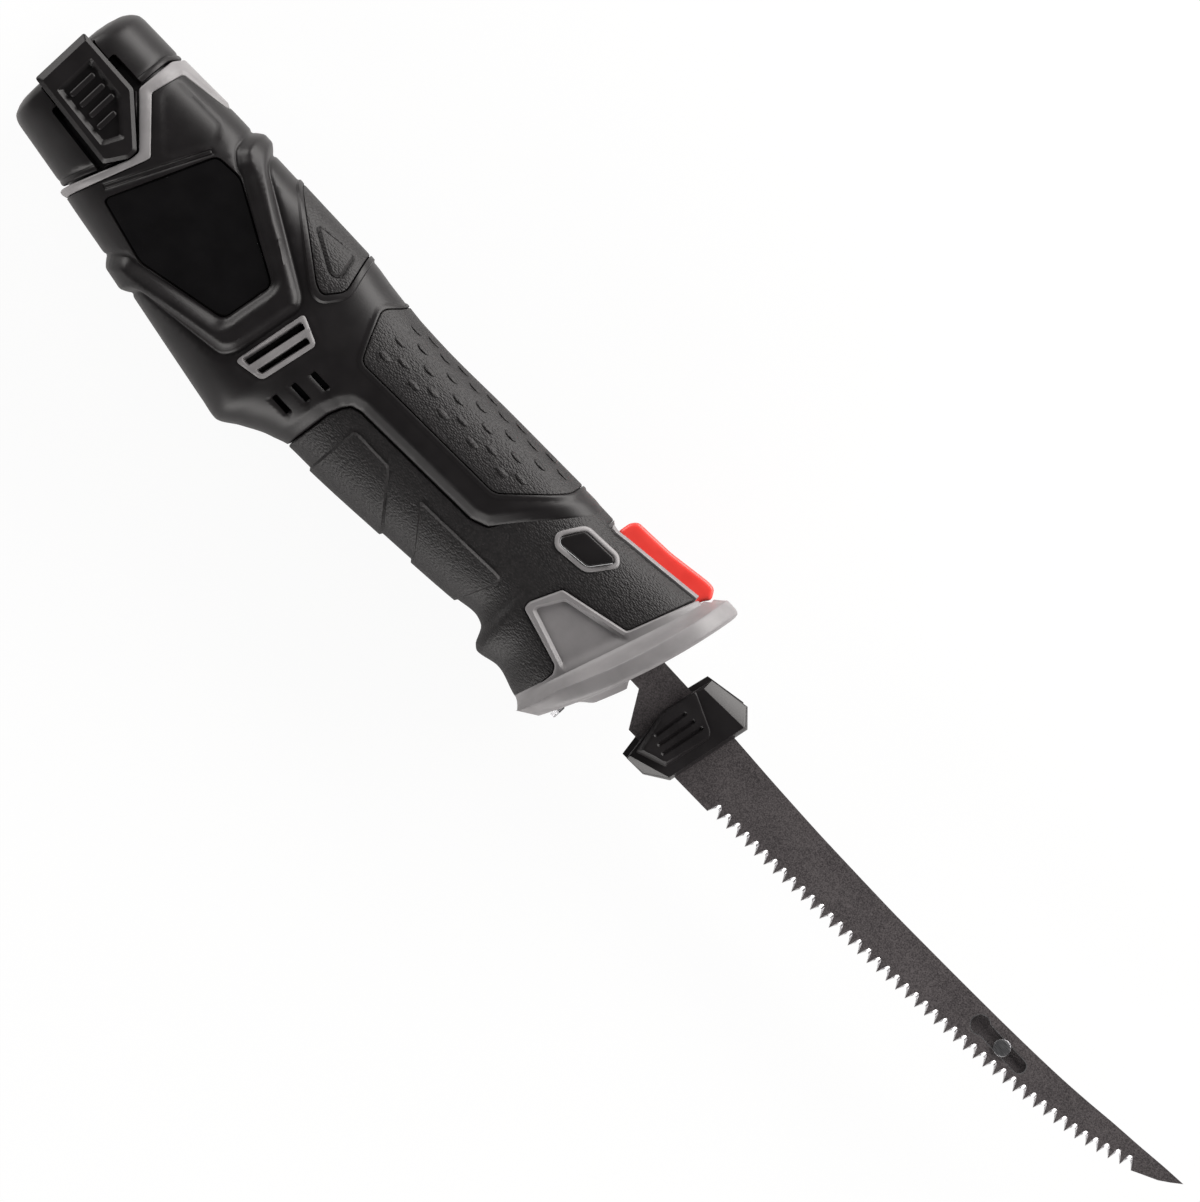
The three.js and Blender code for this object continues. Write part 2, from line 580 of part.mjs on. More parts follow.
function screwHole(x, y, screwSide) {
  const top = screwTop(x, y);
  if (!screwSide) {
    return barZ(SCREW_SHANK + GAP, -1, SCREW_BITE + GAP, x, y, 8);
  }
  const head = barZ(SCREW_HEAD + GAP, top - SCREW_HEAD_LONG - GAP, FAR, x, y, 12);
  return head.add(barZ(SCREW_SHANK + GAP, -1, FAR, x, y, 8));
}

// Rubber and trim on the handle, drawn on the right side
function upperGrip() {
  return panel(UPPER_GRIP, handleForm(GRIP_RISE), handleFloor(GRIP_THICK));
}

function rearPad() {
  const pad = panel(REAR_PAD, handleForm(PAD_RISE), handleFloor(GRIP_THICK));
  return pad.add(panel(PAD_BUTTON, handleForm(PAD_RISE + PAD_BUTTON_RISE), handleForm(0)));
}

function sleeve(screwSide) {
  const inner = handleFloor(LEDGE + SLEEVE_THICK);
  let body = panel(grow(SLEEVE, -GAP), sleeveForm(0), inner);
  for (const outline of SLEEVE_PADS) {
    const pad = panel(outline, sleeveForm(SLEEVE_PAD_RISE), inner);
    body = body.add(pad.intersect(prism(grow(SLEEVE, -GAP), 0, FAR)));
  }
  body = body.subtract(prism(grow(SHIELD, GAP), 0, FAR))
    .subtract(prism(lockRim, 0, FAR))
    .subtract(triggerRim(GAP))
    .intersect(prism(behindGuard(-GAP), 0, FAR));
  if (screwSide) {
    for (const [x, y] of HOUSING_SCREWS) {
      body = body.subtract(barZ(SCREW_HEAD + GAP, 0, FAR, x, y, 12));
    }
  }
  return body;
}

function triggerRim(extra) {
  const wide = TRIGGER_HALF + RUN + BEZEL_WIDTH + extra;
  return block(TRIGGER_POCKET[0] - BEZEL_WIDTH - extra, FAR, BEZEL_FLOOR - extra, FAR, -wide, wide);
}

function triggerBezel() {
  const open = TRIGGER_HALF + RUN;
  const hole = block(TRIGGER_POCKET[0], FAR, 0, FAR, -open, open);
  return sleeveForm(BEZEL_RISE).intersect(triggerRim(0))
    .subtract(hole)
    .subtract(triggerPinHole)
    .subtract(prism(grow(SHIELD, GAP), -FAR, FAR))
    .intersect(prism(behindGuard(-GAP), -FAR, FAR));
}

function sidePlate() {
  return panel(PLATE, handleForm(-PLATE_SINK), handleFloor(PLATE_SINK + PLATE_THICK));
}

function ventGrille() {
  let body = panel(GRILLE, handleForm(GRILLE_RISE), handleFloor(GRILLE_THICK));
  for (const slot of GRILLE_SLOTS) {
    body = body.subtract(prism(slot, 0, FAR));
  }
  return body;
}

function buttonBezel() {
  const inner = handleFloor(HOUSING_FLOOR + GRILLE_THICK - 2 * GAP);
  const rim = panel(grow(LOCK_SHAPE, LOCK_RIM), sleeveForm(BEZEL_RISE), inner);
  return rim.subtract(prism(grow(LOCK_SHAPE, GAP), 0, FAR));
}

function rearCollar() {
  return handleForm(GRIP_RISE).intersect(prism(collarBand, -FAR, FAR)).subtract(innerSpace());
}

// Guard: an oval flange with two side shields and a slot for the blades
function guard() {
  const middle = (GUARD_TOP + GUARD_BOTTOM) / 2;
  const tall = (GUARD_TOP - GUARD_BOTTOM) / 2;
  const oval = (share) => section(0, middle - tall * share, middle + tall * share, HALF_THICKNESS * share,
    GUARD_SQUARE, OUTER_STEPS);
  const rings = [
    oval(GUARD_BACK_SHARE).map((point) => point.setX(guardBack(point.y))),
    ...GUARD_STEPS.map(([share, back]) =>
      oval(share).map((point) => point.setX(guardFront(point.y) - GUARD_DEEP * back))),
  ];
  const shields = sleeveForm(GAP).subtract(handleFloor(LEDGE + SLEEVE_THICK))
    .intersect(prism(SHIELD, -FAR, FAR))
    .intersect(prism(behindGuard(GUARD_DEEP / 2), -FAR, FAR));
  const field = prism(SHIELD_FIELD, -FAR, FAR).subtract(sleeveForm(GAP - SHIELD_SINK));
  const slotSide = BLADE_OUTER + RUN;
  return loft(rings, acrossX)
    .add(shields.subtract(field))
    .add(guardNose())
    .subtract(block(TANG_END, AHEAD, SHANK_BOTTOM - RUN, SHANK_TOP + RUN, -slotSide, slotSide))
    .subtract(triggerPocket)
    .subtract(guardScrewHole);
}

function guardNose() {
  const points = [];
  for (const [y, reach, half] of [
    [NOSE_TOP, NOSE_REACH * 0.7, NOSE_HALF], [NOSE_TOP - 2, NOSE_REACH, NOSE_HALF * 0.8],
    [NOSE_BOTTOM + 3, NOSE_REACH * 0.8, NOSE_HALF * 0.8], [NOSE_BOTTOM, 0, NOSE_HALF],
  ]) {
    for (const side of [-1, 1]) {
      points.push(new THREE.Vector3(guardFront(y) + reach, y, side * half));
      points.push(new THREE.Vector3(guardFront(y) - 2, y, side * (NOSE_HALF + 2)));
    }
  }
  return solid(new ConvexGeometry(points));
}

// Screws are turned profiles with the head first
function screw(length) {
  const profile = [
    [0, 0], [SCREW_HEAD * 0.8, 0], [SCREW_HEAD, 0.5], [SCREW_HEAD, SCREW_HEAD_LONG],
    [SCREW_SHANK, SCREW_HEAD_LONG], [SCREW_SHANK, length - 1], [0, length],
  ];
  return new THREE.LatheGeometry(profile.map(([r, y]) => new THREE.Vector2(r, -y)).reverse(), 6);
}

// Blades: spine, belly and toothed edge, with a keyhole slot or a rivet hole
function bladeOutline() {
  const spine = new THREE.SplineCurve(
    [...BLADE_SPINE, BLADE_TIP].map(([x, y]) => new THREE.Vector2(x, y)));
  const edge = new THREE.SplineCurve(EDGE_LINE.map(([x, y]) => new THREE.Vector2(x, y)));
  const teeth = Math.round(edge.getLength() / TOOTH_PITCH);
  const points = [[TANG_END, SHANK_BOTTOM], ...HEEL];
  for (let i = 0; i < teeth; i += 1) {
    for (const [share, depth] of [[0.3, 0.84], [0.56, 1], [1, 0]]) {
      const along = (i + share) / teeth;
      const place = edge.getPointAt(along);
      const up = edge.getTangentAt(along);
      points.push([place.x - up.y * depth * GULLET_DEPTH, place.y + up.x * depth * GULLET_DEPTH]);
    }
  }
  points.push(...BELLY);
  points.push(...spine.getPoints(12).reverse().map((point) => [point.x, point.y]));
  points.push([TANG_END, SHANK_TOP]);
  return points;
}

function keyhole() {
  const hole = new THREE.Path();
  const meet = Math.asin(SLOT_HALF / KEYHOLE_RADIUS);
  hole.absarc(KEYHOLE_X, RIVET_PLACE[1], KEYHOLE_RADIUS, meet, 2 * Math.PI - meet, false);
  hole.absarc(SLOT_FRONT - SLOT_HALF, RIVET_PLACE[1], SLOT_HALF, -Math.PI / 2, Math.PI / 2, false);
  return hole;
}

function blade(hole) {
  const shape = shapeOf(bladeOutline());
  shape.holes.push(hole);
  const geometry = new THREE.ExtrudeGeometry(shape, {
    depth: BLADE_THICK, bevelEnabled: false, curveSegments: 10,
  });
  return solid(geometry.translate(0, 0, BLADE_INNER));
}

function rivetHole() {
  return new THREE.Path().absarc(...RIVET_PLACE, RIVET_SHANK + GAP, 0, 2 * Math.PI, false);
}

function rivet() {
  const seat = BLADE_OUTER + GAP;
  const top = seat + RIVET_HEAD_THICK;
  const profile = [
    [0, -top], [RIVET_HEAD - 0.4, -top], [RIVET_HEAD, -top + 0.2], [RIVET_HEAD, -seat], [RIVET_SHANK, -seat],
    [RIVET_SHANK, seat], [RIVET_HEAD, seat], [RIVET_HEAD, top - 0.2], [RIVET_HEAD - 0.4, top], [0, top],
  ];
  return new THREE.LatheGeometry(profile.map(([r, y]) => new THREE.Vector2(r, y)), 10);
}

function bladeClip() {
  const low = BLADE_OUTER + GAP;
  const layer = (outline, z) => outline.map(([x, y]) => new THREE.Vector3(x, y, z));
  const base = [...layer(CLIP_BASE, low), ...layer(CLIP_BASE, low + CLIP_EDGE),
    ...layer(CLIP_SHELF, CLIP_SHELF_TOP)];
  const face = [
    ...layer(CLIP_FACE, low + CLIP_EDGE), ...layer(CLIP_FACE, CLIP_SHELF_TOP),
    ...layer(grow(CLIP_FACE, -CLIP_FACE_BEVEL), CLIP_FACE_TOP),
  ];
  let body = solid(new ConvexGeometry(base)).add(solid(new ConvexGeometry(face)));
  for (const [x0, y0, x1, y1] of CLIP_GROOVES) {
    const length = Math.hypot(x1 - x0, y1 - y0) + 2 * GROOVE_HALF;
    const groove = prism(slotOutline(0, 0, length, 2 * GROOVE_HALF), CLIP_FACE_TOP - GROOVE_DEPTH, FAR);
    body = body.subtract(placed(groove, (x0 + x1) / 2, (y0 + y1) / 2, Math.atan2(y1 - y0, x1 - x0)));
  }
  return body;
}

// A solid turned about z and moved in the side view
function placed(body, x, y, angle) {
  const matrix = new THREE.Matrix4().makeRotationZ(angle).setPosition(x, y, 0);
  return solid(geometryOf(body).applyMatrix4(matrix));
}

// Trigger, switch and lock
function trigger() {
  const [pinX, pinY] = TRIGGER_PIVOT;
  const lug = TRIGGER_PIN_RADIUS + GAP + 1.2;
  const floor = [
    [-4.8, TRIGGER_FLOOR], [pinX + lug + 2, TRIGGER_FLOOR], [pinX + lug / 2, pinY - lug],
    [pinX - lug / 2, pinY - lug],
    [pinX - lug, pinY],
  ];
  const shape = shapeOf(TRIGGER_TOP.concat(floor));
  const geometry = new THREE.ExtrudeGeometry(shape, {
    depth: 2 * (TRIGGER_HALF - TRIGGER_BEVEL), bevelEnabled: true, bevelSegments: 1,
    bevelSize: TRIGGER_BEVEL, bevelOffset: -TRIGGER_BEVEL, bevelThickness: TRIGGER_BEVEL,
  });
  return solid(geometry.translate(0, 0, TRIGGER_BEVEL - TRIGGER_HALF)).subtract(triggerPinHole);
}

function switchBody() {
  return block(...SWITCH_BOX, SWITCH_FLOOR, SWITCH_TOP, -SWITCH_HALF, SWITCH_HALF)
    .subtract(barY(PLUNGER_RADIUS + GAP, SWITCH_TOP - PLUNGER_DEEP - 2, SWITCH_TOP + 1, PLUNGER_X, 0, 12));
}

function switchPlunger() {
  return barY(PLUNGER_RADIUS, SWITCH_TOP - 2, TRIGGER_FLOOR - RUN, PLUNGER_X, 0, 12);
}

function switchBracket() {
  const top = SWITCH_FLOOR - GAP;
  return block(SWITCH_BOX[0], guardBack(0) - GAP, top - BRACKET_THICK, top, -BAY_HALF + 1, BAY_HALF - 1);
}

class Helix extends THREE.Curve {
  constructor(bottom, top) {
    super();
    this.bottom = bottom;
    this.top = top;
  }

  getPoint(share, target = new THREE.Vector3()) {
    const angle = share * SPRING_TURNS * 2 * Math.PI;
    const y = THREE.MathUtils.lerp(this.bottom, this.top, share);
    return target.set(SPRING_X + SPRING_RADIUS * Math.cos(angle), y, SPRING_RADIUS * Math.sin(angle));
  }
}

function triggerSpring() {
  const bottom = SWITCH_FLOOR + SPRING_WIRE;
  const top = TRIGGER_FLOOR - SPRING_WIRE - 2 * RUN;
  const ring = Array.from({ length: 4 }, (_, i) => {
    const angle = i * Math.PI / 2;
    return [SPRING_WIRE * Math.cos(angle), SPRING_WIRE * Math.sin(angle)];
  });
  return new THREE.ExtrudeGeometry(shapeOf(ring), {
    steps: SPRING_TURNS * 7, extrudePath: new Helix(bottom, top),
  });
}

function lockButton() {
  return prism(LOCK_SHAPE, -LOCK_HALF, LOCK_HALF);
}

// Battery pack
function cellPlaces() {
  return [90, 210, 330].map((degrees) => {
    const angle = THREE.MathUtils.degToRad(degrees);
    return [STEM_Y + CELL_RING * Math.sin(angle), CELL_RING * Math.cos(angle)];
  });
}

function packCase() {
  const stem = lines([CELL_BACK + CELL_RADIUS, STEM_FRONT].map((x) =>
    [x, STEM_Y - STEM_HALF_HEIGHT, STEM_Y + STEM_HALF_HEIGHT, STEM_HALF, STEM_SQUARE]), 0, 0, OUTER_STEPS);
  let body = lines(PACK_LINES, 0, 0, OUTER_STEPS).intersect(prism(packSide, -FAR, FAR)).add(stem);
  for (const [y, z] of cellPlaces()) {
    body = body.subtract(barX(CELL_RADIUS + GAP, CELL_BACK - GAP, STEM_FRONT + 9, y, z));
  }
  const upper = LATCH[0][1];
  const lower = LATCH[4][1];
  const slots = [
    [[LATCH_SLOT_BACK, upper - 2], [STEM_FRONT, upper - 2], [STEM_FRONT, upper + LATCH_SLOT],
     [LATCH_SLOT_BACK, upper + LATCH_SLOT]],
    [[LATCH_SLOT_BACK, lower + 4], [STEM_FRONT, lower + 4], [STEM_FRONT, lower - LATCH_SLOT - 0.6],
     [LATCH_SLOT_BACK, lower - 0.6]],
  ];
  for (const outline of [grow(LATCH, RUN), ...slots]) {
    body = body.subtract(prism(outline, LATCH_FLOOR, FAR)).subtract(prism(outline, -FAR, -LATCH_FLOOR));
  }
  return body;
}

function latch() {
  const rings = [[LATCH, LATCH_LOW], [LATCH, LATCH_TOP - LATCH_BEVEL], [grow(LATCH, -LATCH_BEVEL), LATCH_TOP]]
    .map(([outline, z]) => outline.map(([x, y]) => new THREE.Vector3(x, y, z)));
  const hook = block(LATCH_BACK, PACK_BACK - RUN, LATCH[5][1], LATCH[0][1], LATCH_HOOK, LATCH_LOW + 1);
  let body = loft(rings, acrossZ).add(hook).subtract(prism(LATCH_FIELD, LATCH_TOP - LATCH_SINK, FAR));
  for (const x of LATCH_RIBS) {
    const rib = block(x - LATCH_RIB_HALF, x + LATCH_RIB_HALF, -FAR, FAR, LATCH_LOW + 1, LATCH_TOP - GAP);
    body = body.add(rib.intersect(prism(grow(LATCH_FIELD, -1.6), 0, FAR)));
  }
  return body;
}

function terminalBlock() {
  const back = STEM_FRONT + GAP;
  let body = block(back, back + TERMINAL_THICK - 1, STEM_Y - TERMINAL_HALF, STEM_Y + TERMINAL_HALF,
    -TERMINAL_HALF, TERMINAL_HALF);
  for (const z of [-7, 0, 7]) {
    body = body.add(block(back + 1, back + TERMINAL_THICK, STEM_Y - 6, STEM_Y + 6, z - 1.5, z + 1.5));
  }
  return body;
}

function contactBlock() {
  return block(CONTACT_BACK, CONTACT_BACK + CONTACT_THICK, STEM_Y - 9, STEM_Y + 9, -TERMINAL_HALF,
    TERMINAL_HALF);
}

// Motor and worm drive
function motorCan() {
  const can = barX(MOTOR_RADIUS, MOTOR_BACK, MOTOR_FRONT, DRIVE_Y, 0);
  const boss = barX(MOTOR_BOSS, MOTOR_FRONT - 1, MOTOR_FRONT + MOTOR_BOSS_LONG, DRIVE_Y, 0);
  return can.add(boss).subtract(barX(SHAFT_RADIUS + GAP, MOTOR_FRONT - 12, 0, DRIVE_Y, 0, 12));
}

function motorCap() {
  const front = MOTOR_BACK - GAP;
  return barX(MOTOR_RADIUS - 1, front - MOTOR_CAP + 1, front, DRIVE_Y, 0)
    .add(barX(MOTOR_BOSS, front - MOTOR_CAP, front - 1, DRIVE_Y, 0));
}

function motorShaft() {
  return barX(SHAFT_RADIUS, MOTOR_FRONT - 11, GEAR_X + WORM_LENGTH / 2 + GAP + BUSH_LONG + 1, DRIVE_Y, 0, 12);
}

function coolingFan() {
  const end = FAN_X + FAN_LONG;
  let body = barX(FAN_RADIUS, FAN_X, FAN_X + 1, DRIVE_Y, 0).add(barX(4, FAN_X, end, DRIVE_Y, 0));
  for (let i = 0; i < FAN_BLADES; i += 1) {
    const angle = i * 2 * Math.PI / FAN_BLADES;
    const vane = new THREE.BoxGeometry(FAN_LONG - 0.5, FAN_RADIUS - 3.4, 1);
    vane.translate(FAN_X + 0.5 + (FAN_LONG - 0.5) / 2, FAN_RADIUS / 2 + 1.4, 0);
    body = body.add(solid(vane.rotateX(angle).translate(0, DRIVE_Y, 0)));
  }
  return body.subtract(barX(SHAFT_RADIUS + GAP, FAN_X - 1, end + 1, DRIVE_Y, 0, 12));
}

function worm() {
  const turns = WORM_LENGTH / WORM_LEAD;
  const count = Math.round(turns * 7);
  const lobe = [[-0.5, 0], [-0.25, 0], [-0.11, 1], [0.11, 1], [0.25, 0]];
  const low = WORM_PITCH_RADIUS - GEAR_MODULE * TOOTH_ROOT;
  const high = WORM_PITCH_RADIUS + GEAR_MODULE * TOOTH_TIP;
  const rings = Array.from({ length: count + 1 }, (_, i) => {
    const along = (i / count - 0.5) * WORM_LENGTH;
    const twist = along / WORM_LEAD * 2 * Math.PI + Math.PI / WORM_STARTS;
    return Array.from({ length: WORM_STARTS }, (_, start) => lobe.map(([share, rise]) => {
      const angle = twist + (start + share) * 2 * Math.PI / WORM_STARTS;
      const radius = low + (high - low) * rise;
      return new THREE.Vector3(GEAR_X + along, DRIVE_Y + radius * Math.cos(angle), radius * Math.sin(angle));
    })).flat();
  });
  const bore = barX(SHAFT_RADIUS + GAP, GEAR_X - WORM_LENGTH, GEAR_X + WORM_LENGTH, DRIVE_Y, 0, 12);
  return loft(rings, acrossX).subtract(bore);
}

function driveGear() {
  const slope = WORM_LEAD / (2 * Math.PI * WORM_PITCH_RADIUS);
  const low = GEAR_RADIUS - GEAR_MODULE * TOOTH_ROOT;
  const high = GEAR_RADIUS + GEAR_MODULE * TOOTH_TIP;
  const tooth = [[-0.32, low], [-0.11, high], [0.11, high], [0.32, low]];
  const rings = [-GEAR_HALF, GEAR_HALF].map((z) => {
    const twist = z * slope / GEAR_RADIUS - Math.PI / 2;
    return Array.from({ length: GEAR_TEETH }, (_, i) => tooth.map(([share, radius]) => {
      const angle = twist + (i + share) * 2 * Math.PI / GEAR_TEETH;
      return new THREE.Vector3(GEAR_X + radius * Math.cos(angle), GEAR_Y + radius * Math.sin(angle), z);
    })).flat();
  });
  const reach = GEAR_HALF + PIN_REACH;
  return loft(rings, acrossZ)
    .add(barZ(PIN_RADIUS, 0, reach, GEAR_X, GEAR_Y + STROKE_HALF, 12))
    .add(barZ(PIN_RADIUS, -reach, 0, GEAR_X, GEAR_Y - STROKE_HALF, 12))
    .subtract(barZ(AXLE_RADIUS + GAP, -reach - 1, reach + 1, GEAR_X, GEAR_Y, 12));
}

function frontBush() {
  const back = GEAR_X + WORM_LENGTH / 2 + GAP;
  return barX(BUSH_RADIUS, back, back + BUSH_LONG, DRIVE_Y, 0)
    .subtract(barX(SHAFT_RADIUS + GAP, back - 1, back + BUSH_LONG + 1, DRIVE_Y, 0, 12));
}

// Cradle under the drive: a floor with two uprights that hold the shaft
function gearFrame() {
  const bushBack = GEAR_X + WORM_LENGTH / 2 + GAP;
  const back = GEAR_X - WORM_LENGTH / 2 - 2 * FRAME_THICK;
  const top = GEAR_Y - WINDOW_TALL - CARRIER_FRAME - RUN - GAP;
  const floor = block(back, bushBack + BUSH_LONG, FRAME_BOTTOM, FRAME_BOTTOM + FRAME_THICK, -FRAME_HALF,
    FRAME_HALF);
  const rear = block(back, back + FRAME_THICK, FRAME_BOTTOM + 1, top, -FRAME_HALF, FRAME_HALF);
  const front = block(bushBack, bushBack + BUSH_LONG, FRAME_BOTTOM + 1, top, -FRAME_HALF, FRAME_HALF);
  return floor.add(rear).add(front)
    .subtract(barX(BUSH_RADIUS + GAP, bushBack - 1, bushBack + BUSH_LONG + 1, DRIVE_Y, 0))
    .subtract(barX(SHAFT_RADIUS + RUN, back - 1, back + FRAME_THICK + 1, DRIVE_Y, 0, 12));
}

// Yoke round the crank pin with an arm that carries one blade's tang
function bladeCarrier() {
  const long = WINDOW_LONG + CARRIER_FRAME;
  const tall = WINDOW_TALL + CARRIER_FRAME;
  const yoke = block(GEAR_X - long, GEAR_X + long, GEAR_Y - tall, GEAR_Y + tall, CARRIER_INNER,
    CARRIER_OUTER);
  const window = block(GEAR_X - WINDOW_LONG, GEAR_X + WINDOW_LONG, GEAR_Y - WINDOW_TALL,
    GEAR_Y + WINDOW_TALL, 0, FAR);
  const armBack = GEAR_X + WINDOW_LONG + GEAR_RADIUS * 0.3;
  const neck = block(GEAR_X + WINDOW_LONG + 1, armBack + 8, CARRIER_ARM_BOTTOM, CARRIER_ARM_TOP,
    CARRIER_INNER, CARRIER_OUTER);
  const arm = block(armBack + STROKE, CARRIER_FRONT, CARRIER_ARM_BOTTOM, CARRIER_ARM_TOP, BLADE_OUTER + GAP,
    CARRIER_OUTER - 1);
  return yoke.subtract(window).add(neck).add(arm);
}

function carrierGuide() {
  const half = GUIDE_LENGTH / 2;
  return block(GUIDE_X - half, GUIDE_X + half, CARRIER_ARM_BOTTOM - 5, CARRIER_ARM_TOP + 5, -BAY_HALF + 2,
    BAY_HALF - 2)
    .subtract(block(GUIDE_X - FAR, GUIDE_X + FAR, CARRIER_ARM_BOTTOM - RUN, CARRIER_ARM_TOP + RUN,
      -CARRIER_OUTER - RUN, CARRIER_OUTER + RUN));
}

// Assembly
const knife = new THREE.Group();

function piece(name, body, material) {
  const geometry = body instanceof THREE.BufferGeometry ? body : geometryOf(body);
  const mesh = new THREE.Mesh(geometry, material);
  mesh.name = name;
  knife.add(mesh);
  return mesh;
}

// A piece on the right side and its mirror image on the left
function pair(name, body, material) {
  piece(`right_${name}`, body, material);
  piece(`left_${name}`, body, material).scale.z = -1;
}

piece("right_housing", housingHalf(true, false), plastic);
piece("left_housing", housingHalf(false, true), plastic).scale.z = -1;
pair("upper_grip", upperGrip(), rubber);
pair("rear_pad", rearPad(), rubber);
piece("right_sleeve", sleeve(false), rubber);
piece("left_sleeve", sleeve(true), rubber).scale.z = -1;
pair("vent_grille", ventGrille(), greyPlastic);
pair("button_bezel", buttonBezel(), greyPlastic);
piece("side_plate", sidePlate(), glossBlack);
piece("rear_collar", rearCollar(), greyPlastic);
piece("front_guard", guard(), greyPlastic);
piece("trigger_bezel", triggerBezel(), greyPlastic);

piece("trigger", trigger(), redPlastic);
const pinHalf = TRIGGER_HALF + RUN + BEZEL_WIDTH;
piece("trigger_pin", barZ(TRIGGER_PIN_RADIUS, -pinHalf, pinHalf, ...TRIGGER_PIVOT, 12), steel);
piece("trigger_spring", triggerSpring(), steel);
piece("switch_body", switchBody(), plastic);
piece("switch_plunger", switchPlunger(), redPlastic);
piece("switch_bracket", switchBracket(), plastic);
piece("lock_button", lockButton(), plastic);

const rightBlade = blade(keyhole());
const leftBlade = blade(rivetHole());
piece("right_blade", rightBlade, coatedSteel);
piece("left_blade", leftBlade, coatedSteel).scale.z = -1;
piece("right_blade_clip", bladeClip(), plastic);
const leftClip = piece("left_blade_clip", bladeClip(), plastic);
leftClip.scale.z = -1;
leftClip.position.x = LEFT_CLIP_SHIFT;
const rivetMesh = piece("blade_rivet", rivet(), steel);
rivetMesh.position.set(...RIVET_PLACE, 0);
rivetMesh.rotation.x = Math.PI / 2;
pair("blade_carrier", bladeCarrier(), nylon);
piece("carrier_guide", carrierGuide(), plastic);

piece("motor_can", motorCan(), steel);
piece("motor_cap", motorCap(), plastic);
piece("motor_shaft", motorShaft(), steel);
piece("cooling_fan", coolingFan(), plastic);
piece("worm", worm(), brass);
piece("drive_gear", driveGear(), nylon);
piece("gear_axle", barZ(AXLE_RADIUS, -BAY_HALF + 1, BAY_HALF - 1, GEAR_X, GEAR_Y, 12), steel);
piece("front_bush", frontBush(), brass);
piece("gear_frame", gearFrame(), plastic);

piece("battery_case", packCase(), plastic);
cellPlaces().forEach(([y, z], i) => {
  piece(`battery_cell_${i + 1}`, barX(CELL_RADIUS, CELL_BACK, CELL_BACK + CELL_LENGTH, y, z), cellWrap);
});
piece("battery_terminals", terminalBlock(), plastic);
piece("contact_block", contactBlock(), plastic);
pair("latch", latch(), plastic);

HOUSING_SCREWS.forEach(([x, y], i) => {
  const mesh = piece(`housing_screw_${i + 1}`, screw(screwTop(x, y) + SCREW_BITE), steel);
  mesh.position.set(x, y, -screwTop(x, y));
  mesh.rotation.x = -Math.PI / 2;
});
const guardScrew = piece("guard_screw", screw(GUARD_SCREW_LONG), steel);
guardScrew.position.set(guardFront(GUARD_SCREW_Y) + SCREW_HEAD_LONG - SCREW_SINK / 2, GUARD_SCREW_Y, 0);
guardScrew.rotation.z = -Math.PI / 2;

// The knife lies on its left crest and guard: the origin is on that crest, at the table
knife.position.set(-REST_POINT[0], -REST_POINT[1], HALF_THICKNESS);

export default knife;
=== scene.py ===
"""Looks of a cordless fillet knife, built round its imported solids.

Lengths are millimetres along the knife's own lines: x runs to the blade tip, y to the thumb trigger and
z to the right side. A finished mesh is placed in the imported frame, in metres."""
import math

import bmesh
import bpy
import numpy as np
from mathutils import Matrix, Vector
from mathutils.geometry import delaunay_2d_cdt


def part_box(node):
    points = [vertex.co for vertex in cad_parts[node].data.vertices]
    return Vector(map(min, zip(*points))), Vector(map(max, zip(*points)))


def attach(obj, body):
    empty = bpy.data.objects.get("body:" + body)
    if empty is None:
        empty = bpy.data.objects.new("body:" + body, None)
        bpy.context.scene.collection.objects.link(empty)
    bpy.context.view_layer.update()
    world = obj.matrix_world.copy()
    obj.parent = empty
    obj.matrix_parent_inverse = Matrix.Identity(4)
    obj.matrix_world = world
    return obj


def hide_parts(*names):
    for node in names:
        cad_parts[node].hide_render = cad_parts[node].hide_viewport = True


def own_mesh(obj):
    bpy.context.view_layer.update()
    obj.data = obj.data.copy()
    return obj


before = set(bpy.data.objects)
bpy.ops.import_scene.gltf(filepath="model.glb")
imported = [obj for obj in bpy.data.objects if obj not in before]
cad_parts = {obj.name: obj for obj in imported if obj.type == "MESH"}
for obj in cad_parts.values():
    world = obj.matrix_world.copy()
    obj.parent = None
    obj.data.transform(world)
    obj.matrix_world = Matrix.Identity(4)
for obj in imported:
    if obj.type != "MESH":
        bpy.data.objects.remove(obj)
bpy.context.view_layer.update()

MM = 0.001
RIVET_PLACE = np.array([155.4, -0.5, 0.0])
rivet_low, rivet_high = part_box("blade_rivet")
PLACE = (np.array(rivet_low) + np.array(rivet_high)) / 2 - RIVET_PLACE * MM
SIDES = {"right": 1, "left": -1}

# Clearances and depths shared with the solids
GAP = 0.3
SEAM = 0.1
LEDGE = 2.0
LEDGE_BEVEL = 4.6
SLEEVE_EDGE = 0.15
HALF_THICKNESS = 26.0
ABOVE = 40.0
BELOW = -50.0

# Handle stations: x, bottom edge, top edge, half width, squareness
HANDLE_STATIONS = [
    (-234, -29.6, 21.6, 23.2, 3), (-222, -32, 22, 23.8, 3.1), (-202, -35, 22.6, 24, 3.3),
    (-165, -41, 22.6, 24, 3.4), (-150, -43.4, 22.6, 23.8, 3.4), (-144, -44.3, 22.4, 23.4, 3.3),
    (-137, -40.2, 21.6, 22.4, 3), (-129, -35.9, 20.9, 21.2, 2.7), (-122, -34, 20.4, 20.6, 2.5),
    (-113, -33.6, 20.3, 20.4, 2.5), (-84.6, -31.3, 21.4, 20.4, 2.5), (-54.5, -28.3, 22.3, 20.4, 2.5),
    (-48, -27.3, 22.5, 20.4, 2.5), (-43.8, -28.5, 22.5, 20.4, 2.5), (-41, -33.4, 22.5, 20.4, 2.5),
    (-39, -34.6, 22.6, 20.4, 2.5), (-31.5, -33.1, 23.6, 20.4, 2.5), (-20.4, -35.6, 25.2, 20.4, 2.5),
    (4, -36, 28.6, 20.8, 2.5),
]
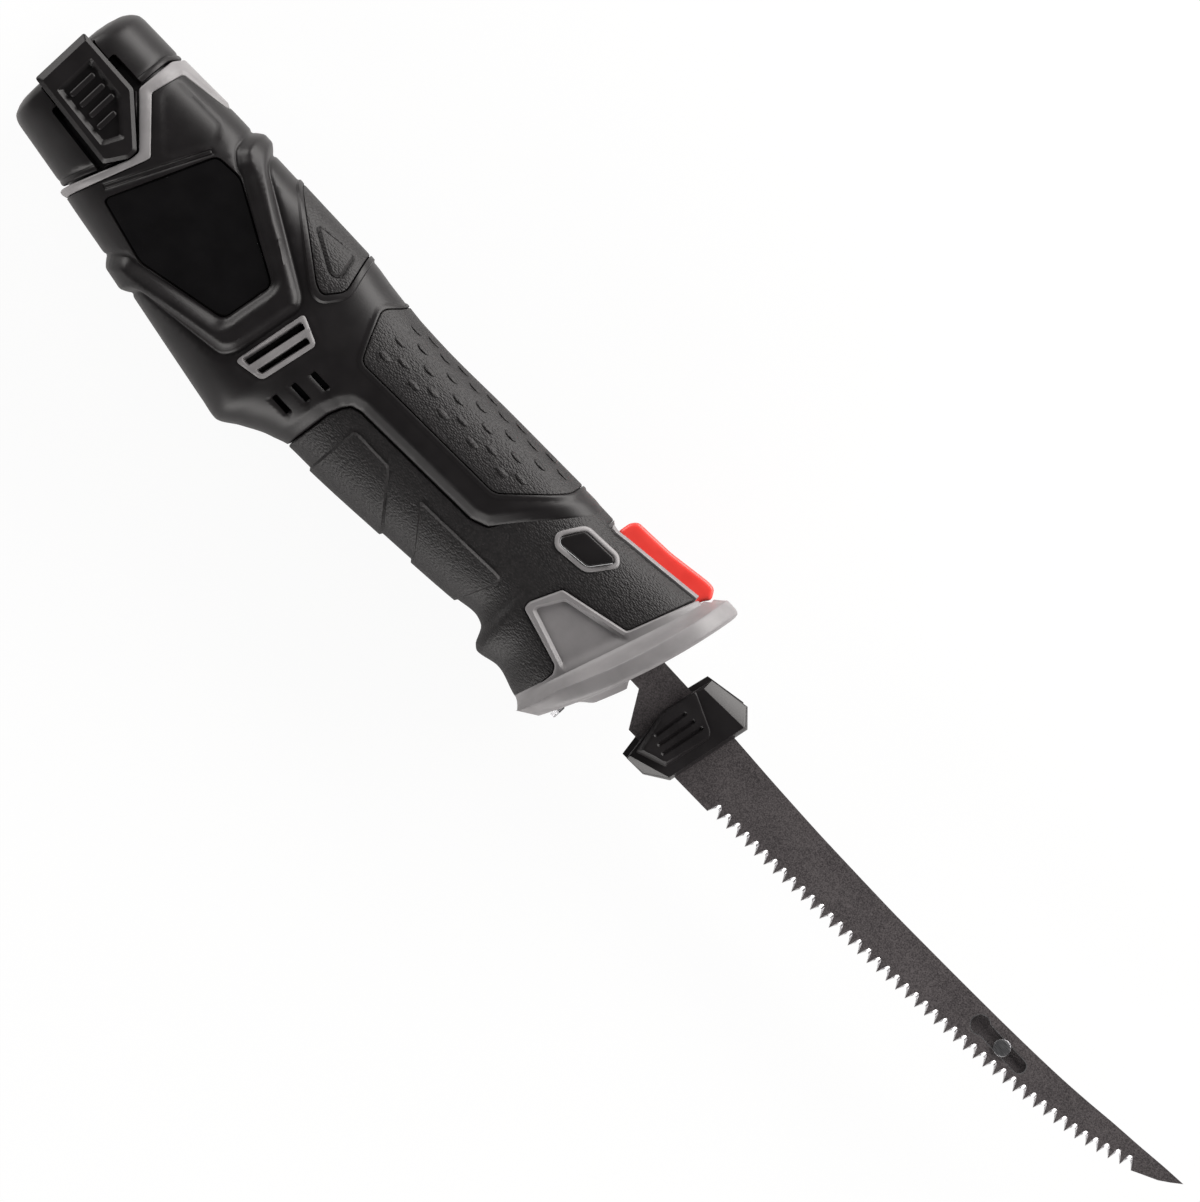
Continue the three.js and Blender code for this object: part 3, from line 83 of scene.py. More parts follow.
PACK_STATIONS = [
    (-252.7, -21.5, 10, 20.6, 3), (-252, -24, 14.2, 22.4, 3), (-250.8, -26, 17.7, 23.3, 3),
    (-249, -27, 20.2, 23.7, 3), (-247.2, -27.4, 21.4, 23.9, 3), (-245, -27.7, 21.7, 24, 3),
    (-212, -32.2, 22, 24, 3),
]

# Side view outlines of the handle's panels
COLLAR_BACK = [
    (-228.5, ABOVE), (-228.5, 21.8), (-230.5, 19), (-231.2, 6.5), (-217.2, -6.5), (-217.5, -10),
    (-225, -30.5), (-225.5, BELOW),
]
COLLAR_FRONT = [
    (-208.8, ABOVE), (-208.8, 22), (-225.4, 19.1), (-227.7, 8.5), (-213.7, -5), (-213.9, -6.5),
    (-222.3, -30.8), (-223, BELOW),
]
REAR_FACET = [(-225.3, 16.8), (-206.5, 17.3), (-202.7, 12.3), (-210.3, -1.6), (-212.4, -1.5), (-225.5, 10.2)]
PLATE = [(-200.5, 10), (-191, 10.8), (-160.8, -4.6), (-163.5, -22.3), (-193, -29.2), (-214.5, -24.3)]
CREST = [
    (-190, ABOVE), (-190, 21.5), (-187.3, 18), (-152.7, -0.8), (-150.8, -3.1), (-154.2, -26.2),
    (-156.5, -29.6), (-188, -34.6), (-191.9, BELOW), (-201.9, BELOW), (-201.9, -35.2), (-196.5, -30.6),
    (-193, -30.2), (-162.6, -23.2), (-159.9, -4.2), (-190.6, 11.8), (-193.5, 12.4), (-197.7, 15.4),
    (-198.5, 19.6), (-198, ABOVE),
]
REAR_PAD = [
    (-177.3, ABOVE), (-177.3, 22.2), (-151.9, 5), (-148.5, 4.2), (-144.2, 10), (-147.7, 22.3),
    (-147.7, ABOVE),
]
PAD_BUTTON = [(-165, 17.3), (-151.5, 10.4), (-148.8, 11.5), (-150.8, 19.2)]
GRILLE = [(-148.1, -3.5), (-138.8, -7.3), (-142.3, -26.2), (-151.9, -28.1)]
GRILLE_SLOTS = [
    [(-147.3, -5.4), (-144.6, -6.2), (-148.1, -26.2), (-151.2, -26.5)],
    [(-142.7, -7.3), (-140.4, -8.1), (-143.5, -25), (-145.8, -25.8)],
]
INTAKES = [(-130.1, -13.7), (-131.6, -20.3), (-132.9, -27)]
UPPER_GRIP = [
    (-128.1, ABOVE), (-128.1, 20.4), (-133.5, 14.6), (-128.8, 4.6), (-126.2, 0), (-124.6, -0.8), (-70, 1.4),
    (-57.7, 13.8), (-53.8, 18.5), (-53.2, ABOVE),
]
SLEEVE_LINE = [
    (-42.7, ABOVE), (-42.7, 21.4), (-63.8, -6.9), (-69.2, -9.2), (-115, -11.3), (-118, -12.3),
    (-119.6, -14.6), (-121.2, -19.2), (-122.7, -33.5), (-122.7, BELOW),
]
SLEEVE_PADS = [
    [(-112.3, -16.9), (-110.8, -16.1), (-97.7, -16), (-96.5, -16.9), (-84.2, -30.8), (-84.2, BELOW),
     (-114.6, BELOW)],
    [(-83.8, -16.2), (-50.8, -14.2), (-49.2, -15.4), (-54.6, -28.5), (-54.6, BELOW), (-72.7, BELOW),
     (-72.7, -28.8)],
]
SHIELD_LINE = [
    (-3, ABOVE), (-5.2, 24.5), (-12.3, 3.5), (-12.9, 2.4), (-35, -3.1), (-39.2, -13.1), (-38.8, -15.4),
    (-20, -20.4), (-18.5, -22.7), (-19.6, -34.6), (-20, BELOW),
]
SHIELD_FIELD = [(-32.3, -4.6), (-9, 1.2), (-15.5, -19.8), (-36.3, -13.6), (-36.5, -12.3)]
LOCK_OUTLINE = [(-46.9, 7.3), (-43.1, 13.8), (-31.5, 14.6), (-30.4, 13.5), (-35, 6.9), (-45.4, 5.6)]
LOCK_HALF = 18.6
GUARD_TOP, GUARD_BOTTOM = 30.9, -38.3
TRIGGER_LINE = [
    (-36.4, 21.5), (-35.8, 25.4), (-34.2, 27.3), (-20.8, 28.2), (-6.9, 30.5), (-4.2, 30.4), (-2.2, 27.3),
    (-4, 25), (-4.8, 19.4), (-28.2, 19.4), (-31.6, 16.2), (-34.4, 16.2), (-35.8, 19),
]
TRIGGER_HALF, TRIGGER_ROUND = 8.0, 1.3
LATCH = [(-254.6, 5.8), (-232.3, 5.2), (-217.9, -6.8), (-217.9, -10), (-222, -16.8), (-254.6, -14.2)]
LATCH_FLAT = [(-252.6, 4.6), (-232.7, 4), (-219.1, -7.4), (-219.1, -9.7), (-222.7, -15.5), (-252.6, -13)]
LATCH_FIELD = [(-247.7, 2.3), (-233, 1.2), (-223, -6.9), (-226.2, -13.5), (-247.7, -11.9)]
LATCH_LOW, LATCH_TOP = 22.8, 25.6
LATCH_SLOTS = [
    [(-243.8, 5), (-231.2, 5), (-231.2, 8.1), (-243.8, 8.1)],
    [(-244.2, -13), (-221.2, -13), (-221.2, -19.2), (-244.2, -17.2)],
]
LATCH_RIBS = [(-243.5, -0.4, -10), (-239.2, -0.4, -10), (-235, -0.4, -10), (-230.8, -3.5, -10.8)]
SPINE_LINE = [
    (33, 4.2), (55, 3.5), (75, 3.2), (100, 3.3), (120, 3.8), (135, 4.3), (150, 4.9), (165, 5.7), (175, 6.4),
    (185, 7.4), (195, 8.6), (205, 9.6), (215, 10.75), (222.4, 11.4),
]
EDGE_LINE = [(43.1, -16.7), (101.2, -13.5), (147.5, -9.7), (174.4, -6.1), (193.6, -2.4), (208.6, 2.7)]
BELLY = [(211.9, 4.4), (216.3, 6.6), (219.4, 8.9)]
HEEL = [(2.3, -6.7), (9.2, -17.3), (29, -17), (43.1, -16.7)]
SHANK_TOP, SHANK_BOTTOM, TANG_END = 4.5, -6.7, -36.0
TOOTH_PITCH, GULLET_DEPTH = 3.87, 4.0
BLADE_INNER, BLADE_OUTER = 0.25, 1.15
CLIP_BASE = [(15.4, 11), (28.5, 13.5), (33.5, 8.8), (28.8, -18.6), (21.9, -23.3), (15, -23.6), (11.9, -5.8)]
CLIP_FACE = [(14.4, 5.4), (26.2, 0.4), (27.7, -1.2), (25, -16.8), (15.4, -20.4), (11.9, -5.8)]
CLIP_CROWN = [(15.4, 11), (28, 13.1), (32.4, 8.8), (27.9, -18.4), (21.6, -23), (15, -23.6), (11.9, -5.8)]
CLIP_SHELF = [(15.7, 7.5), (32.6, 8.4), (28.3, -18), (15.3, -22.2), (12.3, -5.8)]
CLIP_LOW, CLIP_EDGE, CLIP_SHELF_TOP, CLIP_FACE_TOP, CLIP_FACE_BEVEL = 1.45, 0.6, 5.6, 9.0, 1.5
LEFT_CLIP_SHIFT = -1.8
CLIP_GROOVES = [((17.2, -1.8), (15.9, -12.3)), ((20.6, -1.5), (18.7, -13.5)), ((23.8, -1.2), (21.5, -14.5))]


# Curves, outlines and their distances
LOOP_STEP, SIDE_STEPS, ARC_POINTS, CORNER_SHARE = 1.5, 8, 6, 0.45
# Points that are measured at once
BATCH = 2000


class Smooth:
    """A smooth curve through stations that doesn't overshoot them."""

    def __init__(self, stations, values):
        self.stations = np.array(stations, float)
        self.values = np.array(values, float)
        run = np.diff(self.stations)
        rise = np.diff(self.values) / run
        slopes = np.zeros(len(self.stations))
        slopes[0], slopes[-1] = rise[0], rise[-1]
        for i in range(1, len(rise)):
            if rise[i - 1] * rise[i] > 0:
                first, second = 2 * run[i] + run[i - 1], run[i] + 2 * run[i - 1]
                slopes[i] = (first + second) / (first / rise[i - 1] + second / rise[i])
        self.slopes = slopes

    def __call__(self, x):
        i = np.clip(np.searchsorted(self.stations, x) - 1, 0, len(self.stations) - 2)
        run = self.stations[i + 1] - self.stations[i]
        t = np.clip((x - self.stations[i]) / run, 0, 1)
        square, cube = t * t, t * t * t
        return (self.values[i] * (2 * cube - 3 * square + 1) + self.slopes[i] * run * (cube - 2 * square + t)
                + self.values[i + 1] * (3 * square - 2 * cube) + self.slopes[i + 1] * run * (cube - square))


def stepped(loop, step):
    """A closed loop with its sides cut into even steps."""
    out = []
    for start, end in zip(loop, np.roll(loop, -1, 0)):
        length = np.linalg.norm(end - start)
        if length < 1e-4:
            continue
        count = max(1, math.ceil(length / step))
        out.extend(start + (end - start) * k / count for k in range(count))
    return np.array(out)


def counter_clockwise(loop):
    x, y = loop[:, 0], loop[:, 1]
    area = np.sum(x * np.roll(y, -1) - np.roll(x, -1) * y)
    return loop if area > 0 else loop[::-1]


def corner_arcs(corners, radius):
    """A short arc in place of each corner of a polygon."""
    t = np.linspace(0, 1, ARC_POINTS)[:, None]
    arcs = []
    for i, corner in enumerate(corners):
        before, after = corners[i - 1] - corner, corners[(i + 1) % len(corners)] - corner
        cut = min(radius, CORNER_SHARE * np.linalg.norm(before), CORNER_SHARE * np.linalg.norm(after))
        start, end = (corner + way / np.linalg.norm(way) * cut for way in (before, after))
        arcs.append((1 - t) ** 2 * start + 2 * t * (1 - t) * corner + t * t * end)
    return arcs


def rounded(points, radius=1.0, step=LOOP_STEP):
    """A closed outline with rounded corners and even steps."""
    arcs = corner_arcs(np.array(points, float), radius)
    return counter_clockwise(stepped(np.concatenate(arcs), step))


def offset_corners(points, distance):
    """A polygon's corners with every side moved outwards."""
    corners = counter_clockwise(np.array(points, float))
    along = np.roll(corners, -1, 0) - corners
    along /= np.linalg.norm(along, axis=1, keepdims=True)
    out = np.column_stack([along[:, 1], -along[:, 0]])
    before = np.roll(out, 1, 0)
    return corners + distance * (out + before) / (1 + (out * before).sum(1, keepdims=True))


def cornered(points, radius):
    """A rounded polygon with one count of points, whatever its size, so that rings of it join."""
    arcs = corner_arcs(counter_clockwise(np.array(points, float)), radius)
    shares = np.arange(1, SIDE_STEPS)[:, None] / SIDE_STEPS
    sides = [arc[-1] + (after[0] - arc[-1]) * shares for arc, after in zip(arcs, arcs[1:] + arcs[:1])]
    return np.concatenate([part for pair in zip(arcs, sides) for part in pair])


def moved(loop, distance):
    """A counter-clockwise loop moved outwards."""
    along = np.roll(loop, -1, 0) - np.roll(loop, 1, 0)
    along /= np.maximum(np.linalg.norm(along, axis=1, keepdims=True), 1e-9)
    return loop + distance * np.column_stack([along[:, 1], -along[:, 0]])


def away(points, line, closed=False):
    """Distance of each point from a line."""
    line = np.asarray(line, float)
    start = line if closed else line[:-1]
    along = (np.roll(line, -1, 0) if closed else line[1:]) - start
    square = np.maximum((along ** 2).sum(1), 1e-12)
    out = np.empty(len(points))
    for first in range(0, len(points), BATCH):
        offset = points[first:first + BATCH, None, :] - start
        share = np.clip((offset * along).sum(-1) / square, 0, 1)
        out[first:first + BATCH] = ((offset - share[..., None] * along) ** 2).sum(-1).min(1)
    return np.sqrt(out)


def inside(points, loop):
    out = np.empty(len(points), bool)
    ax, ay = loop[:, 0], loop[:, 1]
    bx, by = np.roll(ax, -1), np.roll(ay, -1)
    rise = np.where(by == ay, 1e-12, by - ay)
    for first in range(0, len(points), BATCH):
        x, y = points[first:first + BATCH, 0, None], points[first:first + BATCH, 1, None]
        crossed = ((ay > y) != (by > y)) & (x < ax + (y - ay) * (bx - ax) / rise)
        out[first:first + BATCH] = crossed.sum(1) % 2 == 1
    return out


def depth(points, loop):
    """Distance from a closed loop, positive inside it."""
    return np.where(inside(points, loop), 1, -1) * away(points, loop, closed=True)


def ease(value, low, high):
    share = np.clip((value - low) / (high - low), 0, 1)
    return share * share * (3 - 2 * share)


def lip(distance, radius):
    """Drop of a rounded edge at a distance from its border."""
    share = np.clip(1 - distance / radius, 0, 1)
    return -radius * (1 - np.sqrt(1 - 0.96 * share ** 2))


def crease(distance, width):
    return np.exp(-(distance / width) ** 2)


def signed_power(value, power):
    return np.sign(value) * np.abs(value) ** power


# Moulded bodies: a point on one is (x, girth), girth running up the right side from its middle
class Form:
    ANGLES = np.linspace(1e-3, math.pi - 1e-3, 800)
    NOMINAL_TALL, NOMINAL_HALF, NOMINAL_SQUARE = 28.0, 22.0, 2.6

    def __init__(self, stations):
        table = np.array(stations, float).T
        self.bottom, self.top, self.half, self.square = (Smooth(table[0], row) for row in table[1:])
        up, out = np.cos(self.ANGLES), np.sin(self.ANGLES)
        power = 2 / self.NOMINAL_SQUARE
        y = self.NOMINAL_TALL * signed_power(up, power)
        z = self.NOMINAL_HALF * out ** power
        length = np.concatenate([[0], np.cumsum(np.hypot(np.diff(y), np.diff(z)))])
        self.limit = length[-1] / 2
        self.girths = self.limit - length

    def girth(self, x, y):
        low, high = self.bottom(x), self.top(x)
        share = np.clip((2 * y - high - low) / (high - low), -1, 1)
        angle = np.arccos(signed_power(share, self.square(x) / 2))
        over = np.maximum(y - high, 0) - np.maximum(low - y, 0)
        return np.interp(angle, self.ANGLES, self.girths) + over

    def loop(self, points, radius=1.0, step=LOOP_STEP):
        flat = rounded(points, radius, step)
        return np.column_stack([flat[:, 0], self.girth(flat[:, 0], flat[:, 1])])

    def line(self, points):
        points = np.array(points, float)
        flat = stepped(np.concatenate([points, points[::-1][1:-1]]), LOOP_STEP)
        flat = flat[:int(np.argmin(np.linalg.norm(flat - points[-1], axis=1))) + 1]
        return np.column_stack([flat[:, 0], self.girth(flat[:, 0], flat[:, 1])])

    def point(self, flat, side=0.0, edge=0.0):
        x, girth = flat[:, 0], np.clip(flat[:, 1], -self.limit, self.limit)
        angle = np.interp(-girth, -self.girths, self.ANGLES)
        low, high = self.bottom(x) - edge, self.top(x) + edge
        power = 2 / self.square(x)
        up, out = np.cos(angle), np.sin(angle)
        y = (low + high) / 2 + (high - low) / 2 * signed_power(up, power)
        return np.column_stack([x, y, (self.half(x) + side) * out ** power])

    def normal(self, flat, side=0.0, edge=0.0):
        shift = 0.25
        step_x, step_girth = np.array([shift, 0]), np.array([0, shift])
        along = self.point(flat + step_x, side, edge) - self.point(flat - step_x, side, edge)
        girth = np.clip(flat[:, 1], -self.limit + shift, self.limit - shift)
        kept = np.column_stack([flat[:, 0], girth])
        upward = self.point(kept + step_girth, side, edge) - self.point(kept - step_girth, side, edge)
        normal = np.cross(along, upward)
        return normal / np.maximum(np.linalg.norm(normal, axis=1, keepdims=True), 1e-9)


HANDLE = Form(HANDLE_STATIONS)
PACK = Form(PACK_STATIONS)


# Skins: arrays of points and triangles
# Shares of the spacing: steps along a border, rows of the grid, room beside borders and beside features
BORDER_STEP, ROW_STEP, BORDER_CLEAR, FEATURE_CLEAR = 0.7, 0.87, 0.5, 0.35
# How far a ring may stray from its distance, and how near the border a feature's ring may come
RING_SLACK, FEATURE_SLACK, FEATURE_SLIP, FEATURE_MARGIN = 0.2, 0.06, 0.02, 0.25
END_SPACING, EDGE_POINTS = 1.6, 5
WELD = 1e-6


def fill(loop, holes=(), features=(), spacing=1.2, rings=(0.35, 0.9), kept_border=False):
    """Triangles inside a loop: steps along its border, rings beside it and each feature, and an even grid."""
    border = loop if kept_border else stepped(loop, spacing * BORDER_STEP)
    borders = [border] + [stepped(hole, spacing * BORDER_STEP) for hole in holes]
    clear = (max(rings) if rings else 0) + BORDER_CLEAR * spacing
    low, high = border.min(0), border.max(0)
    rows = np.arange(low[1], high[1], spacing * ROW_STEP)
    grid_x, grid_y = np.meshgrid(np.arange(low[0], high[0], spacing), rows)
    grid_x[1::2] += spacing / 2
    grid = np.column_stack([grid_x.ravel(), grid_y.ravel()])
    grid = grid[inside(grid, border)]
    for edge in borders:
        grid = grid[away(grid, edge, closed=True) > clear]
    for hole in borders[1:]:
        grid = grid[~inside(grid, hole)]
    extra, chains = [], []
    for feature, offsets in features:
        line = stepped(feature, spacing * BORDER_STEP)
        gap = away(grid, line, closed=True)
        nearest = np.min([np.abs(gap - abs(offset)) for offset in offsets], axis=0)
        grid = grid[nearest > FEATURE_CLEAR * spacing]
        for offset in offsets:
            ring = moved(line, offset)
            strayed = np.abs(away(ring, line, closed=True) - abs(offset))
            kept = strayed < FEATURE_SLACK * abs(offset) + FEATURE_SLIP
            kept &= inside(ring, border) & (away(ring, border, closed=True) > FEATURE_MARGIN)
            numbers = np.flatnonzero(kept)
            place = {number: sum(map(len, borders + extra)) + i for i, number in enumerate(numbers)}
            pairs = [(n, (n + 1) % len(ring)) for n in numbers]
            chains += [(place[n], place[after]) for n, after in pairs if after in place]
            extra.append(ring[kept])
    for number, edge in enumerate(borders):
        for distance in rings:
            ring = moved(edge, distance if number else -distance)
            ring = ring[np.abs(away(ring, edge, closed=True) - distance) < RING_SLACK * distance]
            extra.append(ring[inside(ring, border)])
    points = np.concatenate(borders + extra + [grid])
    edges = chains
    start = 0
    for edge in borders:
        count = len(edge)
        edges.extend((start + i, start + (i + 1) % count) for i in range(count))
        start += count
    result = delaunay_2d_cdt([Vector(point) for point in points], edges, [], 0, 1e-4)
    flat = np.array([tuple(point) for point in result[0]])
    tris = np.array([face for face in result[2] if len(face) == 3])
    middle = flat[tris].mean(1)
    keep = inside(middle, border)
    for hole in borders[1:]:
        keep &= ~inside(middle, hole)
    tris = tris[keep]
    corner = flat[tris]
    first, second = corner[:, 1] - corner[:, 0], corner[:, 2] - corner[:, 0]
    turned = first[:, 0] * second[:, 1] - first[:, 1] * second[:, 0]
    tris[turned < 0] = tris[turned < 0][:, ::-1]
    return flat, tris


def closed(top, bottom, tris):
    """A closed skin: an outer sheet, its inner copy and a wall round their borders."""
    count = len(top)
    edges = np.concatenate([tris[:, [0, 1]], tris[:, [1, 2]], tris[:, [2, 0]]])
    forward = edges[:, 0].astype(np.int64) * count + edges[:, 1]
    backward = edges[:, 1].astype(np.int64) * count + edges[:, 0]
    rim = edges[~np.isin(forward, backward)]
    wall = np.concatenate([
        np.column_stack([rim[:, 1], rim[:, 0], rim[:, 0] + count]),
        np.column_stack([rim[:, 1], rim[:, 0] + count, rim[:, 1] + count]),
    ])
    return np.concatenate([top, bottom]), np.concatenate([tris, tris[:, ::-1] + count, wall])


def joined(*skins):
    points, tris, count = [], [], 0
    for skin_points, skin_tris in skins:
        points.append(skin_points)
        tris.append(skin_tris + count)
        count += len(skin_points)
    return np.concatenate(points), np.concatenate(tris)


def ring_tris(count, rows, wrapped=False):
    """Triangles that join rows of equal rings, and the last row to the first if wrapped."""
    around = np.arange(count)
    onward = (around + 1) % count
    tris = []
    for row in range(rows if wrapped else rows - 1):
        low, high = row * count, (row + 1) % rows * count
        tris += [np.column_stack([low + around, low + onward, high + onward]),
                 np.column_stack([low + around, high + onward, high + around])]
    return np.concatenate(tris)


def mirrored(skin):
    points, tris = skin
    return points * [1, 1, -1], tris[:, ::-1]


def sided(skin, side):
    return skin if side > 0 else mirrored(skin)


def panel(form, loop, height, thick, side=0.0, edge=0.0, seam=GAP / 2, **grid):
    """A moulded panel on a form, its height above the form a function of (x, girth)."""
    clipped = np.column_stack([loop[:, 0], np.clip(loop[:, 1], -form.limit, form.limit)])
    flat, tris = fill(clipped, **grid)
    base, out = form.point(flat, side, edge), form.normal(flat, side, edge)
    top = base + out * height(flat)[:, None]
    bottom = top - out * thick
    top[:, 2] = np.maximum(top[:, 2], seam)
    bottom[:, 2] = np.maximum(bottom[:, 2], seam)
    return closed(top, bottom, tris)


def band(form, ledges, side=0.0, edge=0.0):
    """A closed rim on a form, from loops of equal count and their heights, going round its section."""
    rings = [form.point(flat, side, edge) + form.normal(flat, side, edge) * height for flat, height in ledges]
    return np.concatenate(rings), ring_tris(len(rings[0]), len(rings), wrapped=True)


def section(stations, side=0.0, edge=0.0, count=96):
    """Rounded sections across x, each from (x, bottom, top, half width, squareness)."""
    turn = np.linspace(0, 2 * math.pi, count, endpoint=False)
    up, out = np.cos(turn), np.sin(turn)
    rings = []
    for x, bottom, top, half, square in stations:
        y = (top + bottom) / 2 + ((top - bottom) / 2 + edge) * signed_power(up, 2 / square)
        z = (half + side) * signed_power(out, 2 / square)
        rings.append(np.column_stack([np.full(count, x), y, z]))
    return rings


def rings_skin(rings, spacing, holes=(), ends=(None, None), features=()):
    """Rings joined, with filled ends: ends give the height on each one, features mark the last one."""
    points, tris = list(rings), [ring_tris(len(rings[0]), len(rings))]
    total = len(rings) * len(rings[0])
    for ring, height, marked, last in ((rings[0], ends[0], (), False), (rings[-1], ends[1], features, True)):
        flat, cap = fill(ring[:, :2], holes, marked, spacing, rings=(), kept_border=True)
        level = height(flat) if height else np.full(len(flat), ring[:, 2].mean())
        points.append(np.column_stack([flat, level]))
        tris.append((cap if last else cap[:, ::-1]) + total)
        total += len(flat)
    return np.concatenate(points), np.concatenate(tris)


def tube(rings, holes=(), ends=(None, None)):
    """Rings across x joined, with filled ends: ends give x on each one."""
    points, tris = rings_skin([ring[:, [1, 2, 0]] for ring in rings], END_SPACING, holes, ends)
    return points[:, [2, 0, 1]], tris


def ledges_skin(ledges, spacing=1.0, top=None, features=()):
    """Loops of equal count stacked along z, each from (loop, z): top gives z on the last one's face."""
    rings = [np.column_stack([loop, np.full(len(loop), z)]) for loop, z in ledges]
    return rings_skin(rings, spacing, ends=(None, top), features=features)


def block(outline, low, high, radius, both=True):
    """An outline pushed along z, its edges rounded at the top, and at the bottom if both."""
    loop = counter_clockwise(np.asarray(outline, float))
    turns = np.linspace(0, math.pi / 2, EDGE_POINTS)
    ledges = [(-radius * (1 - math.cos(turn)), high - radius * (1 - math.sin(turn))) for turn in turns]
    if both:
        ledges = [(inset, low + high - z) for inset, z in ledges[::-1]] + ledges
    else:
        ledges = [(0, low)] + ledges
    return ledges_skin([(moved(loop, inset), z) for inset, z in ledges], END_SPACING)


def hull_skin(points, bevel):
    """The convex hull of points, its edges bevelled."""
    form = bmesh.new()
    for point in points:
        form.verts.new(point)
    bmesh.ops.convex_hull(form, input=form.verts)
    bmesh.ops.dissolve_limit(form, angle_limit=math.radians(1), verts=form.verts, edges=form.edges)
    bmesh.ops.bevel(form, geom=form.edges, offset=bevel, segments=3, profile=0.5, affect="EDGES",
                    clamp_overlap=True)
    bmesh.ops.triangulate(form, faces=form.faces)
    form.verts.index_update()
    points = np.array([tuple(vert.co) for vert in form.verts])
    tris = np.array([[vert.index for vert in face.verts] for face in form.faces])
    form.free()
    return points, tris


def mesh_of(name, skin):
    points, tris = skin
    mesh = bpy.data.meshes.new(name)
    mesh.vertices.add(len(points))
    mesh.vertices.foreach_set("co", (points * MM + PLACE).astype(np.float32).ravel())
    mesh.loops.add(3 * len(tris))
    mesh.loops.foreach_set("vertex_index", tris.astype(np.int32).ravel())
    mesh.polygons.add(len(tris))
    mesh.polygons.foreach_set("loop_start", np.arange(0, 3 * len(tris), 3, dtype=np.int32))
    mesh.update(calc_edges=True)
    mesh.validate()
    form = bmesh.new()
    form.from_mesh(mesh)
    bmesh.ops.remove_doubles(form, verts=form.verts, dist=WELD)
    bmesh.ops.dissolve_degenerate(form, edges=form.edges, dist=WELD)
    form.to_mesh(mesh)
    form.free()
    return mesh


def add(name, shape, body, node, material, sharp=38):
    """A piece, from a skin or a mesh: its finish, its shading, its body and the solid it stands for."""
    mesh = mesh_of(name, shape) if isinstance(shape, tuple) else shape
    mesh.materials.clear()
    mesh.materials.append(material)
    mesh.shade_smooth()
    mesh.set_sharp_from_angle(angle=math.radians(sharp))
    piece = bpy.data.objects.new(name, mesh)
    bpy.context.scene.collection.objects.link(piece)
    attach(piece, body)
    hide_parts(node)
    return piece


def merged(mesh, other):
    """A mesh with another one added to it."""
    form = bmesh.new()
    form.from_mesh(mesh)
    form.from_mesh(other)
    form.to_mesh(mesh)
    form.free()
    return mesh


def cut(name, skin, tools):
    """A skin with tool skins cut out of it."""
    piece = bpy.data.objects.new(name, mesh_of(name, skin))
    bpy.context.scene.collection.objects.link(piece)
    cutters = []
    for number, tool in enumerate(tools):
        cutter = bpy.data.objects.new(f"{name}_cutter_{number}", mesh_of(f"{name}_cutter_{number}", tool))
        bpy.context.scene.collection.objects.link(cutter)
        modifier = piece.modifiers.new(cutter.name, "BOOLEAN")
        modifier.operation, modifier.solver, modifier.object = "DIFFERENCE", "EXACT", cutter
        cutters.append(cutter)
    mesh = bpy.data.meshes.new_from_object(piece.evaluated_get(bpy.context.evaluated_depsgraph_get()))
    for thing in [piece] + cutters:
        bpy.data.objects.remove(thing)
    mesh.name = name
    return mesh


# Node trees: maths written as arithmetic on sockets
class Wire:
    def __init__(self, nodes, socket):
        self.nodes, self.socket = nodes, socket

    def maths(self, operation, *values):
        return self.nodes.node("ShaderNodeMath", dict(enumerate(values)), operation=operation)

    def __add__(self, other):
        return self.maths("ADD", self, other)

    def __radd__(self, other):
        return self.maths("ADD", other, self)

    def __sub__(self, other):
        return self.maths("SUBTRACT", self, other)

    def __rsub__(self, other):
        return self.maths("SUBTRACT", other, self)

    def __mul__(self, other):
        return self.maths("MULTIPLY", self, other)

    def __rmul__(self, other):
        return self.maths("MULTIPLY", other, self)

    def between(self, low, high):
        """0 at low, 1 at high, held outside."""
        return self.nodes.node("ShaderNodeMapRange", {"Value": self, "From Min": low, "From Max": high})


class Nodes:
    """A node tree whose sockets take wires or values."""

    def node(self, kind, inputs=None, output=0, **settings):
        node = self.tree.nodes.new(kind)
        for setting, value in settings.items():
            setattr(node, setting, value)
        for socket, value in (inputs or {}).items():
            self.feed(node.inputs[socket], value)
        return Wire(self, node.outputs[output])

    def feed(self, socket, value):
        if isinstance(value, Wire):
            self.tree.links.new(value.socket, socket)
        else:
            socket.default_value = value


class Grower(Nodes):
    """Geometry nodes with named sizes, which grow a dressed mesh from a base."""

    def __init__(self, name, **sizes):
        self.tree = bpy.data.node_groups.new(name, "GeometryNodeTree")
        self.values = {}
        self.socket("Base", "INPUT", "NodeSocketGeometry")
        for size, value in sizes.items():
            kind = "NodeSocketVector" if isinstance(value, list) else "NodeSocketFloat"
            self.values[self.socket(size, "INPUT", kind).identifier] = value
        self.socket("Mesh", "OUTPUT", "NodeSocketGeometry")
        self.entry = self.tree.nodes.new("NodeGroupInput")

    def socket(self, name, way, kind):
        return self.tree.interface.new_socket(name, in_out=way, socket_type=kind)

    def size(self, name):
        return Wire(self, self.entry.outputs[name])

    def grown(self, base, shape, material):
        """The plain mesh that the shape makes from a base mesh."""
        real = self.node("GeometryNodeRealizeInstances", {"Geometry": shape})
        dressed = self.node("GeometryNodeSetMaterial", {"Geometry": real, "Material": material})
        self.feed(self.tree.nodes.new("NodeGroupOutput").inputs["Mesh"], dressed)
        holder = bpy.data.objects.new(base.name, base)
        bpy.context.scene.collection.objects.link(holder)
        modifier = holder.modifiers.new(self.tree.name, "NODES")
        modifier.node_group = self.tree
        for identifier, value in self.values.items():
            modifier[identifier] = value
        depsgraph = bpy.context.evaluated_depsgraph_get()
        mesh = bpy.data.meshes.new_from_object(holder.evaluated_get(depsgraph))
        bpy.data.objects.remove(holder)
        return mesh


